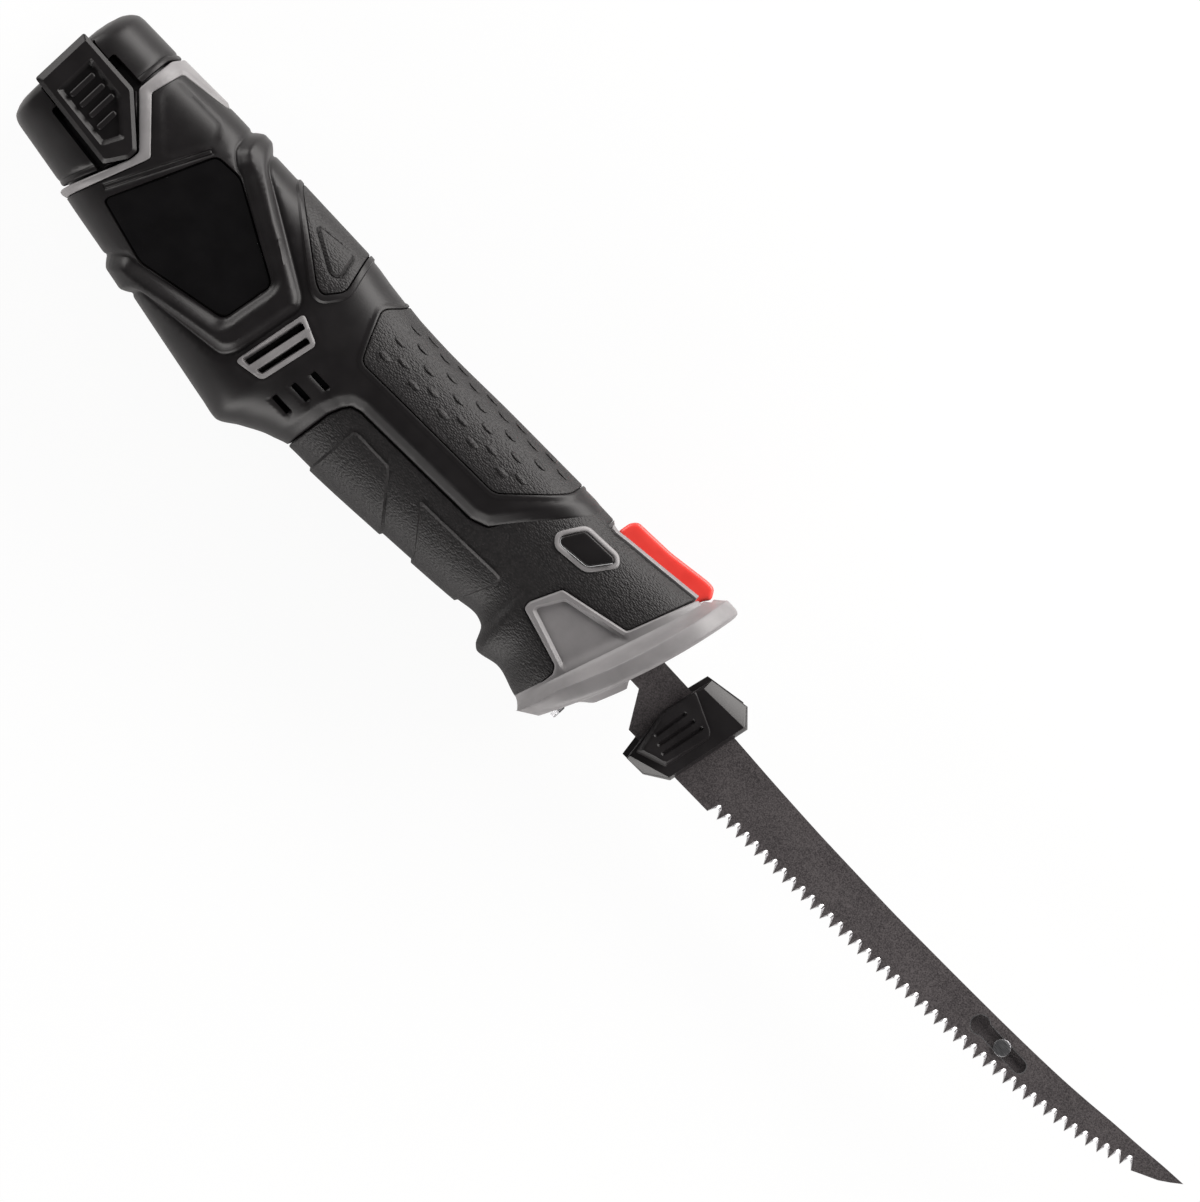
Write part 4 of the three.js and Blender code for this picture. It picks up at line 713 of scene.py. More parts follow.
class Finish(Nodes):
    """One material built from nodes."""

    def __init__(self, name, **constants):
        self.material = bpy.data.materials.new(name)
        self.material.use_nodes = True
        self.tree = self.material.node_tree
        self.shader = self.tree.nodes["Principled BSDF"]
        self.set(**constants)

    def place(self, *scale):
        """Object coordinates in features per millimetre along x, y and z."""
        spot = self.node("ShaderNodeTexCoord", output="Object")
        return self.node("ShaderNodeMapping", {"Vector": spot, "Scale": [share / MM for share in scale]})

    def noise(self, spot, detail=2.0, rough=0.5):
        inputs = {"Vector": spot, "Scale": 1.0, "Detail": detail, "Roughness": rough}
        return self.node("ShaderNodeTexNoise", inputs)

    def cells(self, spot):
        return self.node("ShaderNodeTexVoronoi", {"Vector": spot, "Scale": 1.0}, output="Distance")

    def mixed(self, share, low, high):
        return self.node("ShaderNodeMix", {"Factor": share, 6: low, 7: high}, output=2, data_type="RGBA")

    def set(self, **inputs):
        for socket, value in inputs.items():
            self.feed(self.shader.inputs[socket.replace("_", " ")], value)

    def bump(self, height, distance, strength=1.0):
        """Relief of a height from 0 to 1, in millimetres."""
        inputs = {"Height": height, "Distance": distance * MM, "Strength": strength}
        self.set(Normal=self.node("ShaderNodeBump", inputs))


def tone(red, green, blue):
    """A colour read from the photograph, in the shader's own scale."""
    def linear(value):
        share = value / 255
        return share / 12.92 if share <= 0.04045 else ((share + 0.055) / 1.055) ** 2.4
    return (linear(red), linear(green), linear(blue), 1.0)


def moulded(name, low, high, rough, grain=0.25, relief=0.012, spread=0.1, gloss=0.5):
    """Moulded plastic: a faint mottle, a spark-eroded grain and uneven gloss."""
    finish = Finish(name, Specular_IOR_Level=gloss)
    mottle = finish.noise(finish.place(0.12, 0.12, 0.12), detail=3)
    fine = finish.noise(finish.place(1 / grain, 1 / grain, 1 / grain), detail=1)
    finish.set(Base_Color=finish.mixed(mottle.between(0.35, 0.65), low, high),
               Roughness=rough - spread / 2 + spread * (0.6 * mottle + 0.4 * fine))
    finish.bump(fine, relief)
    return finish.material


def grip_rubber(name, low, high, rough):
    """Soft grip: leather grain drawn out along the handle, its creases darkened with painted shade."""
    finish = Finish(name, Specular_IOR_Level=0.42)
    drift = finish.noise(finish.place(0.25, 0.4, 0.4), detail=2)
    pebble = finish.cells(finish.place(1.15, 1.9, 1.9))
    fine = finish.noise(finish.place(2.4, 3.6, 3.6), detail=2)
    height = (1.0 - pebble) * 0.75 + fine * 0.25
    # The colour follows the grain's height: low creases get painted shade, and the drift adds random tone
    finish.set(Base_Color=finish.mixed((height * 0.7 + drift * 0.3).between(0.35, 0.75), low, high),
               Roughness=rough + 0.12 * fine - 0.06)
    finish.bump(height, 0.2)
    return finish.material


def coated_steel(name):
    """Dark non-stick coat on steel: speckled, with a fine orange peel."""
    finish = Finish(name, Specular_IOR_Level=0.5, Metallic=0.0)
    speckle = finish.noise(finish.place(2.6, 2.6, 2.6), detail=2, rough=0.7)
    cloud = finish.noise(finish.place(0.05, 0.12, 0.12), detail=2)
    share = (speckle * 0.85 + cloud * 0.15).between(0.36, 0.64)
    finish.set(Base_Color=finish.mixed(share, tone(42, 38, 40), tone(90, 85, 86)),
               Roughness=0.44 + 0.14 * speckle)
    finish.bump(speckle, 0.015, 0.6)
    return finish.material


def bare_steel(name, low, high, rough, along=(0.4, 4.0, 4.0)):
    """Ground or drawn steel with fine lines."""
    finish = Finish(name, Metallic=1.0)
    lines = finish.noise(finish.place(*along), detail=3)
    finish.set(Base_Color=finish.mixed(lines.between(0.3, 0.7), low, high),
               Roughness=rough - 0.06 + 0.14 * lines)
    finish.bump(lines, 0.01, 0.5)
    return finish.material


BLACK = moulded("black_moulded", tone(20, 18, 19), tone(26, 24, 25), 0.4, gloss=0.3)
CLIP_BLACK = moulded("clip_black", tone(23, 21, 22), tone(30, 28, 29), 0.32, relief=0.006, gloss=0.4)
INNER_BLACK = moulded("inner_black", tone(40, 40, 41), tone(54, 54, 55), 0.55, grain=0.5)
GLOSS_BLACK = moulded(
    "gloss_black", tone(10, 9, 10), tone(15, 14, 15), 0.11, grain=1.6, relief=0.004, spread=0.05)
GREY = moulded("grey_moulded", tone(118, 116, 117), tone(128, 126, 127), 0.44, relief=0.012)
RED = moulded("red_moulded", tone(241, 64, 56), tone(246, 72, 64), 0.36, relief=0.01)
RUBBER = grip_rubber("grip_rubber", tone(10, 8, 9), tone(28, 25, 26), 0.52)
COAT = coated_steel("blade_coat")
GROUND = bare_steel("ground_edge", tone(152, 151, 153), tone(214, 213, 215), 0.34, (3.0, 0.6, 3.0))
BRIGHT = bare_steel("bright_steel", tone(150, 150, 153), tone(205, 205, 208), 0.28)
MOTOR = bare_steel("motor_steel", tone(120, 121, 124), tone(160, 161, 164), 0.4)
BRONZE = bare_steel("bronze", tone(150, 110, 58), tone(190, 148, 82), 0.36)
NYLON = moulded("nylon", tone(214, 209, 196), tone(232, 228, 216), 0.5, grain=0.4)
CELL_SLEEVE = moulded("cell_sleeve", tone(34, 84, 132), tone(44, 104, 158), 0.35, grain=2.0, relief=0.02)


# Handle shell: both halves, with the panels' recesses
SHELL_THICK, UNDER_DEPTH, UNDER_THICK = 2.4, 4.2, 1.2
CREST_RISE, CREST_FADE, CREST_FADE_FROM = 2.7, 0.6, 24
RIDGE_ROUND, RIDGE_INSET = 0.3, 3.1
CREST_GROOVE, CREST_GROOVE_OUT, CREST_GROOVE_WIDTH = 0.45, 0.7, 0.65
PANEL_FLOOR, PLATE_SINK, FACET_SINK, SLOT_SINK = 2.3, 0.5, 0.4, 3
STRIP_SINK, STRIP_WIDTH = 0.4, 0.3
LEDGE_SINK, SEAM_SINK, SEAM_WIDTH = 0.3, 0.8, 0.3
PANEL_WALL, BARE_WALL, RIM_RUN, PANEL_LIP, COLLAR_LIP = 0.2, 1.2, 0.6, 0.4, 0.5
FACET_WALL, SLOT_WALL = (-0.8, 1.2), (-0.2, 0.1)
SHELL_TOP = HALF_THICKNESS - 0.05
plate_loop = HANDLE.loop(PLATE, 2.2)
crest_loop = HANDLE.loop(CREST, 3.0)
pad_loop = HANDLE.loop(REAR_PAD, 2.2)
pad_button_loop = HANDLE.loop(PAD_BUTTON, 2.0)
grip_loop = HANDLE.loop(UPPER_GRIP, 2.4)
grille_loop = HANDLE.loop(GRILLE, 1.6)
slot_loops = [HANDLE.loop(slot, 0.9, 1.0) for slot in GRILLE_SLOTS]
facet_loop = HANDLE.loop(REAR_FACET, 2.0)
collar_front_line = HANDLE.line(COLLAR_FRONT)
sleeve_line = HANDLE.line(SLEEVE_LINE)
strip_loop = HANDLE.loop([(-201.8, 9.3), (-216.2, -21.7), (-217.5, -21.1), (-203.1, 9.9)], 0.3)
housing_loop = HANDLE.loop(COLLAR_FRONT[::-1] + SLEEVE_LINE, 0.8)
housing_loop[:, 0] += GAP * (housing_loop[:, 0] < -200)

# Air scoops: the sloped outline and the mouth, about an intake's middle
SCOOP = [(-3.9, -1.8), (3.2, -1.9), (6.4, -2.4), (3.5, 1.15), (-3.6, 1.15)]
SCOOP_MOUTH = [(-3.3, -0.9), (3.3, -1.0), (3.3, 1.0), (-3.3, 1.0)]
SCOOP_SLOPE, SCOOP_DEPTH = 0.6, 2.8


def at_intakes(outline):
    return [HANDLE.loop([(x + along, y + up) for along, up in outline], 0.5, 0.8) for x, y in INTAKES]


scoop_loops, mouth_loops = at_intakes(SCOOP), at_intakes(SCOOP_MOUTH)
# Raised rims beside the panels: loop, height, width
panel_rims = ((pad_loop, 0.7, 2.2), (grip_loop, 0.4, 1.6), (grille_loop, 0.15, 1.5))


def scoop_depth(flat):
    """A mouth, and a sloped wall round it that runs out to a point ahead."""
    deep = np.zeros(len(flat))
    for scoop, mouth in zip(scoop_loops, mouth_loops):
        sunk, within = np.maximum(depth(flat, scoop), 0), depth(flat, mouth)
        slope = sunk / (sunk + np.maximum(-within, 0) + 1e-9)
        deep = np.maximum(deep, SCOOP_SLOPE * slope + SCOOP_DEPTH * ease(within, 0, 0.2))
    return deep


def crest_height(flat):
    """A raised crest with a rounded ridge, and a groove along its foot."""
    crest = depth(flat, crest_loop)
    from_ridge = 1 - np.clip(crest / RIDGE_INSET, 0, 1)
    rise = CREST_RISE - CREST_FADE * ease(np.abs(flat[:, 1]), CREST_FADE_FROM, HANDLE.limit)
    fall = (np.hypot(from_ridge, RIDGE_ROUND) - RIDGE_ROUND) / (math.hypot(1, RIDGE_ROUND) - RIDGE_ROUND)
    return rise * (1 - fall) - CREST_GROOVE * crease(crest + CREST_GROOVE_OUT, CREST_GROOVE_WIDTH)


def shell_height(has_plate):
    plate_floor, plate_edge = (PANEL_FLOOR, PANEL_WALL) if has_plate else (PLATE_SINK, BARE_WALL)

    def height(flat):
        high = crest_height(flat)
        high -= plate_floor * ease(depth(flat, plate_loop), -SEAM, plate_edge)
        high -= STRIP_SINK * crease(depth(flat, strip_loop), STRIP_WIDTH)
        high -= FACET_SINK * ease(depth(flat, facet_loop), *FACET_WALL)
        for loop, rim, width in panel_rims:
            gap = depth(flat, loop)
            outside = gap < 0
            high += rim * ease(gap, -width, RIM_RUN - width) * outside + lip(-gap, PANEL_LIP) * outside
            high -= PANEL_FLOOR * ease(gap, -SEAM, PANEL_WALL)
        for loop in slot_loops:
            high -= SLOT_SINK * ease(depth(flat, loop), *SLOT_WALL)
        high -= scoop_depth(flat)
        to_sleeve = away(flat, sleeve_line)
        ledge = np.clip(1 - to_sleeve / LEDGE_BEVEL, 0, 1)
        set_in = HANDLE.point(flat) - HANDLE.point(flat, -LEDGE, -SLEEVE_EDGE)
        drop = (set_in * HANDLE.normal(flat)).sum(1)
        high -= (drop + LEDGE_SINK) * ledge + SEAM_SINK * crease(to_sleeve, SEAM_WIDTH)
        high += lip(away(flat, collar_front_line), COLLAR_LIP)
        return high
    return height


shell_features = [
    (crest_loop, (-RIDGE_INSET, -2.3, -1.2, -0.5, 0.0, 0.35, 0.7, 1.05, 1.5)),
    (plate_loop, (-0.2, 0.1, 0.6)), (strip_loop, (-0.3, 0.0, 0.3)),
    (pad_loop, (-0.2, 0.1, 0.5, 1.6, 2.2)), (grip_loop, (-0.2, 0.1, 0.5, 1.0, 1.6)),
    (grille_loop, (-0.2, 0.1, 0.5)), (facet_loop, (-1.2, 0.8)),
] + [(loop, (0.0,)) for loop in scoop_loops] + [(loop, (-0.2, 0.0)) for loop in mouth_loops]


def lock_ring(distance, inset=0.0):
    """The lock button's outline grown by a distance, on the (x, girth) of a form set in by inset."""
    ring = cornered(offset_corners(LOCK_OUTLINE, distance), 1.2 + 0.6 * distance)
    low, high = HANDLE.bottom(ring[:, 0]), HANDLE.top(ring[:, 0])
    spread = (high - low) / (high - low - 2 * inset)
    level = (low + high) / 2 + (ring[:, 1] - (low + high) / 2) * spread
    return np.column_stack([ring[:, 0], HANDLE.girth(ring[:, 0], level)])


def under_height(flat):
    return np.zeros(len(flat))


under_line = [(x - 3, y + 2) for x, y in SLEEVE_LINE[2:-2]]
under_loop = HANDLE.loop(
    under_line + [(-124, BELOW), (-16, BELOW), (-16, -34), (-8, 0), (-4, 16.5), (-42, 16.5)], 0.8)
for name, side in SIDES.items():
    under = panel(HANDLE, under_loop, under_height, UNDER_THICK, -UNDER_DEPTH, -UNDER_DEPTH, spacing=2.6,
                  rings=(), holes=[lock_ring(0.12, UNDER_DEPTH)])
    shell = panel(HANDLE, housing_loop, shell_height(side > 0), SHELL_THICK, features=shell_features,
                  spacing=0.95, rings=(0.3, 0.9))
    shell[0][:, 2] = np.minimum(shell[0][:, 2], SHELL_TOP)
    skin = sided(joined(shell, under), side)
    add(f"{name}_shell", skin, "handle", f"{name}_housing", BLACK)

# Soft panels and trim on the handle
GRIP_RISE, PAD_RISE, PAD_BUTTON_RISE, PAD_GROOVE, SLEEVE_PAD_RISE = 0.3, 0.5, 0.6, 0.35, 0.9
TRIM_THICK, PLATE_THICK, COLLAR_THICK, PACK_THICK = 1.8, 1.4, 2.0, 2.0
COLLAR_LOW, COLLAR_STEP, FRAME_RISE = 0.2, 0.5, 0.5
SOFT_LIP, PAD_LIP, TRIM_LIP = 0.6, 0.7, 0.5
FRAME_X = np.linspace(-39.8, -5.6, 22)
FRAME_OUTER, FRAME_INNER, FRAME_LIP = 10.1, 8.5, 0.3
FRAME_SWEEP, FRAME_SWEEP_FROM = 0.16, -36.6
FRAME_BAR = [(-39.8, 17), (-38.7, 17), (-38.7, 21.7), (-39.8, 22.4)]
FRAME_BAR_HALF, FRAME_BAR_ROUND = 9.4, 0.25
soft_grip_loop = moved(grip_loop, -SEAM)
soft_pad_loop = moved(pad_loop, -SEAM)


def sleeve_top(x, z):
    """The sleeve form's edge in the side view, at a distance z from the parting plane."""
    low, high = HANDLE.bottom(x) + SLEEVE_EDGE, HANDLE.top(x) - SLEEVE_EDGE
    square, half = HANDLE.square(x), HANDLE.half(x) - LEDGE
    return (low + high) / 2 + (high - low) / 2 * (1 - (z / half) ** square) ** (1 / square)


def frame_line(z):
    """A line of the frame in the side view, which sweeps up behind the trigger."""
    return [(x, sleeve_top(x, z) + FRAME_SWEEP * max(0.0, FRAME_SWEEP_FROM - x) ** 2) for x in FRAME_X]


trigger_gap = [(-42.7, ABOVE), (-39.9, ABOVE)] + frame_line(FRAME_OUTER + SEAM)
sleeve_loop = HANDLE.loop(trigger_gap + SHIELD_LINE[2:-1] + [(-20, BELOW)] + SLEEVE_LINE[:1:-1], 0.8)
sleeve_loop = moved(sleeve_loop, -SEAM)
sleeve_pad_loops = [HANDLE.loop(outline, 1.5) for outline in SLEEVE_PADS]

# Grille: each slot is a louvre that slopes down from its rear edge to an opening
LOUVRE_SHARE, LOUVRE_DEPTH, LOUVRE_RUN = 0.38, 3.4, 1.2
GRILLE_RISE, SLOT_RIM, GRILLE_THICK = 0.35, 0.15, 3.4
frame_border = moved(grille_loop, 0.15)
vent_loops = []
for rear_top, front_top, front_low, rear_low in GRILLE_SLOTS:
    opening = [np.array(rear) * (1 - LOUVRE_SHARE) + np.array(front) * LOUVRE_SHARE
               for rear, front in ((rear_top, front_top), (rear_low, front_low))]
    vent_loops.append(HANDLE.loop([opening[0], front_top, front_low, opening[1]], 0.4, 0.8))


def grille_height(flat):
    high = GRILLE_RISE + lip(depth(flat, frame_border), TRIM_LIP)
    for slot, vent in zip(slot_loops, vent_loops):
        fall = 1 - np.clip(away(flat, vent, closed=True) / LOUVRE_RUN, 0, 1)
        within = depth(flat, slot)
        high -= LOUVRE_DEPTH * fall * ease(within, 0, 0.35) - SLOT_RIM * crease(within + 0.3, 0.3)
    return high


def pad_height(flat):
    button = depth(flat, pad_button_loop)
    groove = PAD_GROOVE * crease(button + 0.4, 0.3)
    edge = lip(depth(flat, soft_pad_loop), PAD_LIP)
    return PAD_RISE + edge + PAD_BUTTON_RISE * ease(button, -0.1, 0.6) - groove


def sleeve_height(flat):
    high = lip(depth(flat, sleeve_loop), SOFT_LIP)
    for loop in sleeve_pad_loops:
        high += SLEEVE_PAD_RISE * ease(depth(flat, loop), -0.1, 0.6)
    return high


# Rim round the lock button: distance out from the button, height above the sleeve's form
LOCK_RIM = [
    (0.2, -1.6), (1.8, -1.6), (1.8, 0.25), (1.66, 0.45), (1.35, 0.6), (0.65, 0.6), (0.33, 0.45),
    (0.2, 0.25),
]
# Scale marks on the grip: the rear end of each row, and a mark's size
MARK_ROWS = [(-122.5, 5.6), (-117.0, 8.4), (-122.5, 11.8), (-116.2, 15.2), (-121.8, 17.6), (-115.6, 19.0)]
MARKS_IN_ROW, MARK_PITCH, MARK_CLIMB, MARK_BORDER = 6, 12.3, 0.04, 3.0
MARK_SIZE, MARK_TILT = (2.4, 1.0, 0.38), -12


def mark_places():
    """Where the grip's scale marks sit, on (x, girth), inside its border."""
    steps = MARK_PITCH * np.arange(MARKS_IN_ROW)
    places = np.array([(x + step, y + step * MARK_CLIMB) for x, y in MARK_ROWS for step in steps])
    flat = np.column_stack([places[:, 0], HANDLE.girth(places[:, 0], places[:, 1])])
    return flat[depth(flat, soft_grip_loop) > MARK_BORDER]


def marks_grown(points):
    """One flattened, tilted scale on each point."""
    grower = Grower("grip_marks", Size=[size * MM for size in MARK_SIZE], Tilt=math.radians(MARK_TILT))
    ball = grower.node("GeometryNodeMeshUVSphere", {"Segments": 20, "Rings": 10, "Radius": 1.0})
    flattened = grower.node("GeometryNodeTransform", {"Geometry": ball, "Scale": grower.size("Size")})
    lean = grower.node("ShaderNodeCombineXYZ", {"X": grower.size("Tilt")})
    mark = grower.node("GeometryNodeTransform", {"Geometry": flattened, "Rotation": lean})
    turn = grower.node("GeometryNodeInputNamedAttribute", {"Name": "turn"}, data_type="FLOAT_VECTOR")
    inputs = {"Points": grower.size("Base"), "Instance": mark, "Rotation": turn}
    return grower.grown(points, grower.node("GeometryNodeInstanceOnPoints", inputs), RUBBER)


def grip_marks(side):
    """The scale marks of one grip as a plain mesh."""
    flat = mark_places()
    out = HANDLE.normal(flat, GRIP_RISE, GRIP_RISE)
    points = HANDLE.point(flat) + out * GRIP_RISE
    points[:, 2] *= side
    out[:, 2] *= side
    turns = []
    for normal in out:
        along = np.cross([0, 1, 0], normal) * side
        along /= np.linalg.norm(along)
        up = np.cross(normal, along)
        turns.append(Matrix(np.column_stack([along, up, normal]).tolist()).to_euler())
    mesh = bpy.data.meshes.new("mark_points")
    mesh.from_pydata((points * MM + PLACE).tolist(), [], [])
    turn = mesh.attributes.new("turn", "FLOAT_VECTOR", "POINT")
    turn.data.foreach_set("vector", np.array([tuple(t) for t in turns], np.float32).ravel())
    return marks_grown(mesh)


def grip_height(flat):
    return GRIP_RISE + lip(depth(flat, soft_grip_loop), SOFT_LIP)


def plate_height(flat):
    return -PLATE_SINK + lip(depth(flat, plate_loop) - GAP, PANEL_LIP)


pad_features = [(pad_button_loop, (-0.6, -0.25, 0.1, 0.4, 0.75))]
sleeve_features = [(loop, (-0.6, 0.1)) for loop in sleeve_pad_loops]
grille_features = [(loop, (0.0, 0.3)) for loop in slot_loops]
for name, side in SIDES.items():
    grip = panel(HANDLE, soft_grip_loop, grip_height, TRIM_THICK)
    grip_mesh = merged(mesh_of(f"{name}_soft_grip", sided(grip, side)), grip_marks(side))
    add(f"{name}_soft_grip", grip_mesh, "handle", f"{name}_upper_grip", RUBBER)
    pad = panel(HANDLE, soft_pad_loop, pad_height, TRIM_THICK, features=pad_features, spacing=0.8)
    add(f"{name}_soft_pad", sided(pad, side), "handle", f"{name}_rear_pad", RUBBER)
    sleeve = panel(HANDLE, sleeve_loop, sleeve_height, TRIM_THICK, -LEDGE, -SLEEVE_EDGE,
                   holes=[lock_ring(1.85)], features=sleeve_features, spacing=1.0)
    add(f"{name}_soft_sleeve", sided(sleeve, side), "handle", f"{name}_sleeve", RUBBER)
    grille = panel(HANDLE, frame_border, grille_height, GRILLE_THICK, holes=vent_loops,
                   features=grille_features, spacing=0.55, rings=(0.2,))
    add(f"{name}_grille", sided(grille, side), "handle", f"{name}_vent_grille", GREY)
    rim = band(HANDLE, [(lock_ring(out), height) for out, height in LOCK_RIM], -LEDGE, -SLEEVE_EDGE)
    add(f"{name}_lock_rim", sided(rim, side), "handle", f"{name}_button_bezel", GREY)

plate = panel(HANDLE, moved(plate_loop, -GAP), plate_height, PLATE_THICK)
add("bare_plate", plate, "handle", "side_plate", GLOSS_BLACK)

collar_loop = HANDLE.loop(COLLAR_BACK + COLLAR_FRONT[::-1], 0.9)


def collar_height(flat):
    ahead = away(flat, collar_front_line)
    step = COLLAR_STEP * ease(ahead, 0.6, 1.5)
    return GRIP_RISE - COLLAR_LOW + step + lip(depth(flat, collar_loop), TRIM_LIP)


collar = panel(HANDLE, collar_loop, collar_height, COLLAR_THICK, seam=0.0, spacing=0.9, rings=(0.2, 0.45))
add("pack_collar", joined(collar, mirrored(collar)), "handle", "rear_collar", GREY)

# Frame round the trigger: a strip on each side and a bar behind
frame_loop = HANDLE.loop(frame_line(FRAME_OUTER) + frame_line(FRAME_INNER)[::-1], 0.2, 0.7)


def frame_height(flat):
    return FRAME_RISE + lip(depth(flat, frame_loop), FRAME_LIP)


strip = panel(HANDLE, frame_loop, frame_height, TRIM_THICK, -LEDGE, -SLEEVE_EDGE, spacing=0.6,
              rings=(0.15, 0.3))
bar = block(rounded(FRAME_BAR, 0.4, 0.6), -FRAME_BAR_HALF, FRAME_BAR_HALF, FRAME_BAR_ROUND)
skin = joined(strip, mirrored(strip), bar)
add("trigger_frame", skin, "handle", "trigger_bezel", GREY)

# Guard: an oval flange like a trumpet's mouth, with a side shield on each side
GUARD_HALF, GUARD_SQUARE, GUARD_COUNT = 26.0, 2.4, 112
GUARD_FRONT_X, GUARD_BACK_X, GUARD_LEAN, GUARD_BOW = 0.6, 10.6, 0.3, 0.0027
GUARD_FOOT, FOOT_SLOPE, FOOT_X, FOOT_STEP = -34.4, 1.45, 12.7, 40
NOSE_RISE, NOSE_FOOT, NOSE_TOP, NOSE_SIDE = 2.2, (-23, -19), (-9.5, -7.6), (4.5, 6.5)
ROOT_SINK, ROOT_PASSES, FLARE_RINGS, FLARE_POWER, FLARE_EASING, FLARE_FROM = 0.5, 6, 12, 1.7, 0.5, (12, 26)
FOOT_THINNING, FOOT_THIN_FROM = 0.35, (22, 38)
# The rim's section: share of the oval, distance behind the front face
GUARD_RINGS = [
    (0.985, 6.0), (0.994, 5.85), (0.999, 5.5), (1.0, 4.6), (0.999, 2.2), (0.993, 1.2), (0.978, 0.5),
    (0.95, 0.15), (0.9, 0.0),
]
BLADE_SLOT = [(-7.1, -1.55), (-7.1, 1.55), (4.9, 1.55), (4.9, -1.55)]


def guard_front(y, back=0.0):
    """The flange at a distance behind its bowed front face, which is cut back at the foot."""
    back = back * (1 - FOOT_THINNING * ease(-y, *FOOT_THIN_FROM))
    bowed = GUARD_FRONT_X + GUARD_LEAN * y - GUARD_BOW * (y + 3) ** 2 - back
    return np.minimum(bowed, FOOT_SLOPE * (y - GUARD_FOOT) - FOOT_X + FOOT_STEP * (y > GUARD_FOOT))


def guard_back(y):
    return GUARD_LEAN * y - GUARD_BACK_X


def guard_oval(share):
    turn = np.linspace(0, 2 * math.pi, GUARD_COUNT, endpoint=False)
    middle, tall = (GUARD_TOP + GUARD_BOTTOM) / 2, (GUARD_TOP - GUARD_BOTTOM) / 2
    up, out = np.cos(turn), np.sin(turn)
    power = 2 / GUARD_SQUARE
    y = middle + share * tall * signed_power(up, power)
    return np.column_stack([y, share * GUARD_HALF * signed_power(out, power)])


def guard_nose(flat):
    """Where the front face swells under the blades."""
    y, z = flat[:, 0], np.abs(flat[:, 1])
    return ease(y, *NOSE_FOOT) * (1 - ease(y, *NOSE_TOP)) * (1 - ease(z, *NOSE_SIDE))


def guard_root():
    """The line where the flange leaves the handle's surface."""
    root = section([(0, -36, 28, 20, 2.5)], count=GUARD_COUNT)[0]
    for _ in range(ROOT_PASSES):
        root[:, 0] = guard_back(root[:, 1]) - ROOT_SINK
        for i, x in enumerate(root[:, 0]):
            station = (x, HANDLE.bottom(x), HANDLE.top(x), HANDLE.half(x), HANDLE.square(x))
            root[i, 1:] = section([station], -LEDGE, -SLEEVE_EDGE, GUARD_COUNT)[0][i, 1:]
    return root


def guard_flange():
    """A flare that opens from the handle to the rim, then the rim and the bowed front face."""
    def back_x(flat):
        return guard_back(flat[:, 0]) - ROOT_SINK

    def front_x(flat):
        return guard_front(flat[:, 0]) + NOSE_RISE * guard_nose(flat)

    root = guard_root()
    crease_oval = guard_oval(GUARD_RINGS[0][0])
    crease_x = guard_front(crease_oval[:, 0], GUARD_RINGS[0][1])
    rings = []
    for share in np.linspace(0, 1, FLARE_RINGS)[:-1]:
        flare = (share ** (FLARE_POWER - FLARE_EASING * ease(root[:, 1], *FLARE_FROM)))[:, None]
        oval = root[:, 1:] * (1 - flare) + crease_oval * flare
        rings.append(np.column_stack([root[:, 0] + (crease_x - root[:, 0]) * share, oval]))
    for share, back in GUARD_RINGS:
        oval = guard_oval(share)
        rings.append(np.column_stack([guard_front(oval[:, 0], back), oval]))
    slot = counter_clockwise(np.array(BLADE_SLOT))
    skin = tube(rings, holes=[slot], ends=(back_x, front_x))
    steps = stepped(slot, END_SPACING * BORDER_STEP)
    walls = np.concatenate([np.column_stack([end(steps), steps]) for end in (back_x, front_x)])
    return joined(skin, (walls, ring_tris(len(steps), 2)[:, ::-1]))


SHIELD_RIDGE, SHIELD_SINK = 0.4, 0.9
shield_top = sleeve_top(np.array([-4.0]), FRAME_OUTER)[0]
shield_loop = HANDLE.loop(
    [(guard_back(shield_top) + 2, shield_top), (-5.2, shield_top)] + SHIELD_LINE[2:-1]
    + [(-19.8, -40), (guard_back(-40) + 4, -40)], 0.9)
shield_field_loop = HANDLE.loop(SHIELD_FIELD, 1.2)


def shield_height(flat):
    rim = depth(flat, shield_loop)
    before_flare = guard_back(HANDLE.point(flat)[:, 1]) - flat[:, 0]
    sunk = ease(depth(flat, shield_field_loop), -0.5, 0.5)
    ridge = SHIELD_RIDGE * ease(rim, 0, 0.6) * (1 - sunk)
    return GAP + lip(rim, 0.6) + (ridge - SHIELD_SINK * sunk) * ease(before_flare, -0.5, 3.5)


shield = panel(HANDLE, shield_loop, shield_height, TRIM_THICK, side=-LEDGE, edge=-SLEEVE_EDGE, spacing=0.9,
               rings=(0.3,), features=[(shield_loop, (-0.6,)), (shield_field_loop, (-0.5, 0.0, 0.5))])
# The trigger's notch, cut through the flange
NOTCH, NOTCH_HALF = [(-37.2, 14.6), (-1.2, 14.6), (-1.2, 23), (-3.7, 40), (-37.2, 40)], 8.4
notch = hull_skin([(x, y, z) for x, y in NOTCH for z in (-NOTCH_HALF, NOTCH_HALF)], 0.05)
guard_mesh = cut("hand_guard", guard_flange(), [notch])
guard_mesh = merged(guard_mesh, mesh_of("guard_shields", joined(shield, mirrored(shield))))
add("hand_guard", guard_mesh, "handle", "front_guard", GREY)

# Trigger, with the same side view outline as its solid
trigger_line = rounded(TRIGGER_LINE, 1.6, 0.9)
trigger_skin = block(trigger_line, -TRIGGER_HALF, TRIGGER_HALF, TRIGGER_ROUND)
add("thumb_trigger", trigger_skin, "trigger", "trigger", RED)

# Return spring under the trigger: a coil, built at its full length; the real one shortens as the trigger is
# pressed
SPRING_X, SPRING_FOOT, SPRING_TOP, SPRING_PRESSED = -14.4, 6.6, 18.6, 0.72
SPRING_RADIUS, SPRING_WIRE, SPRING_TURNS = 2.4, 0.35, 5.0


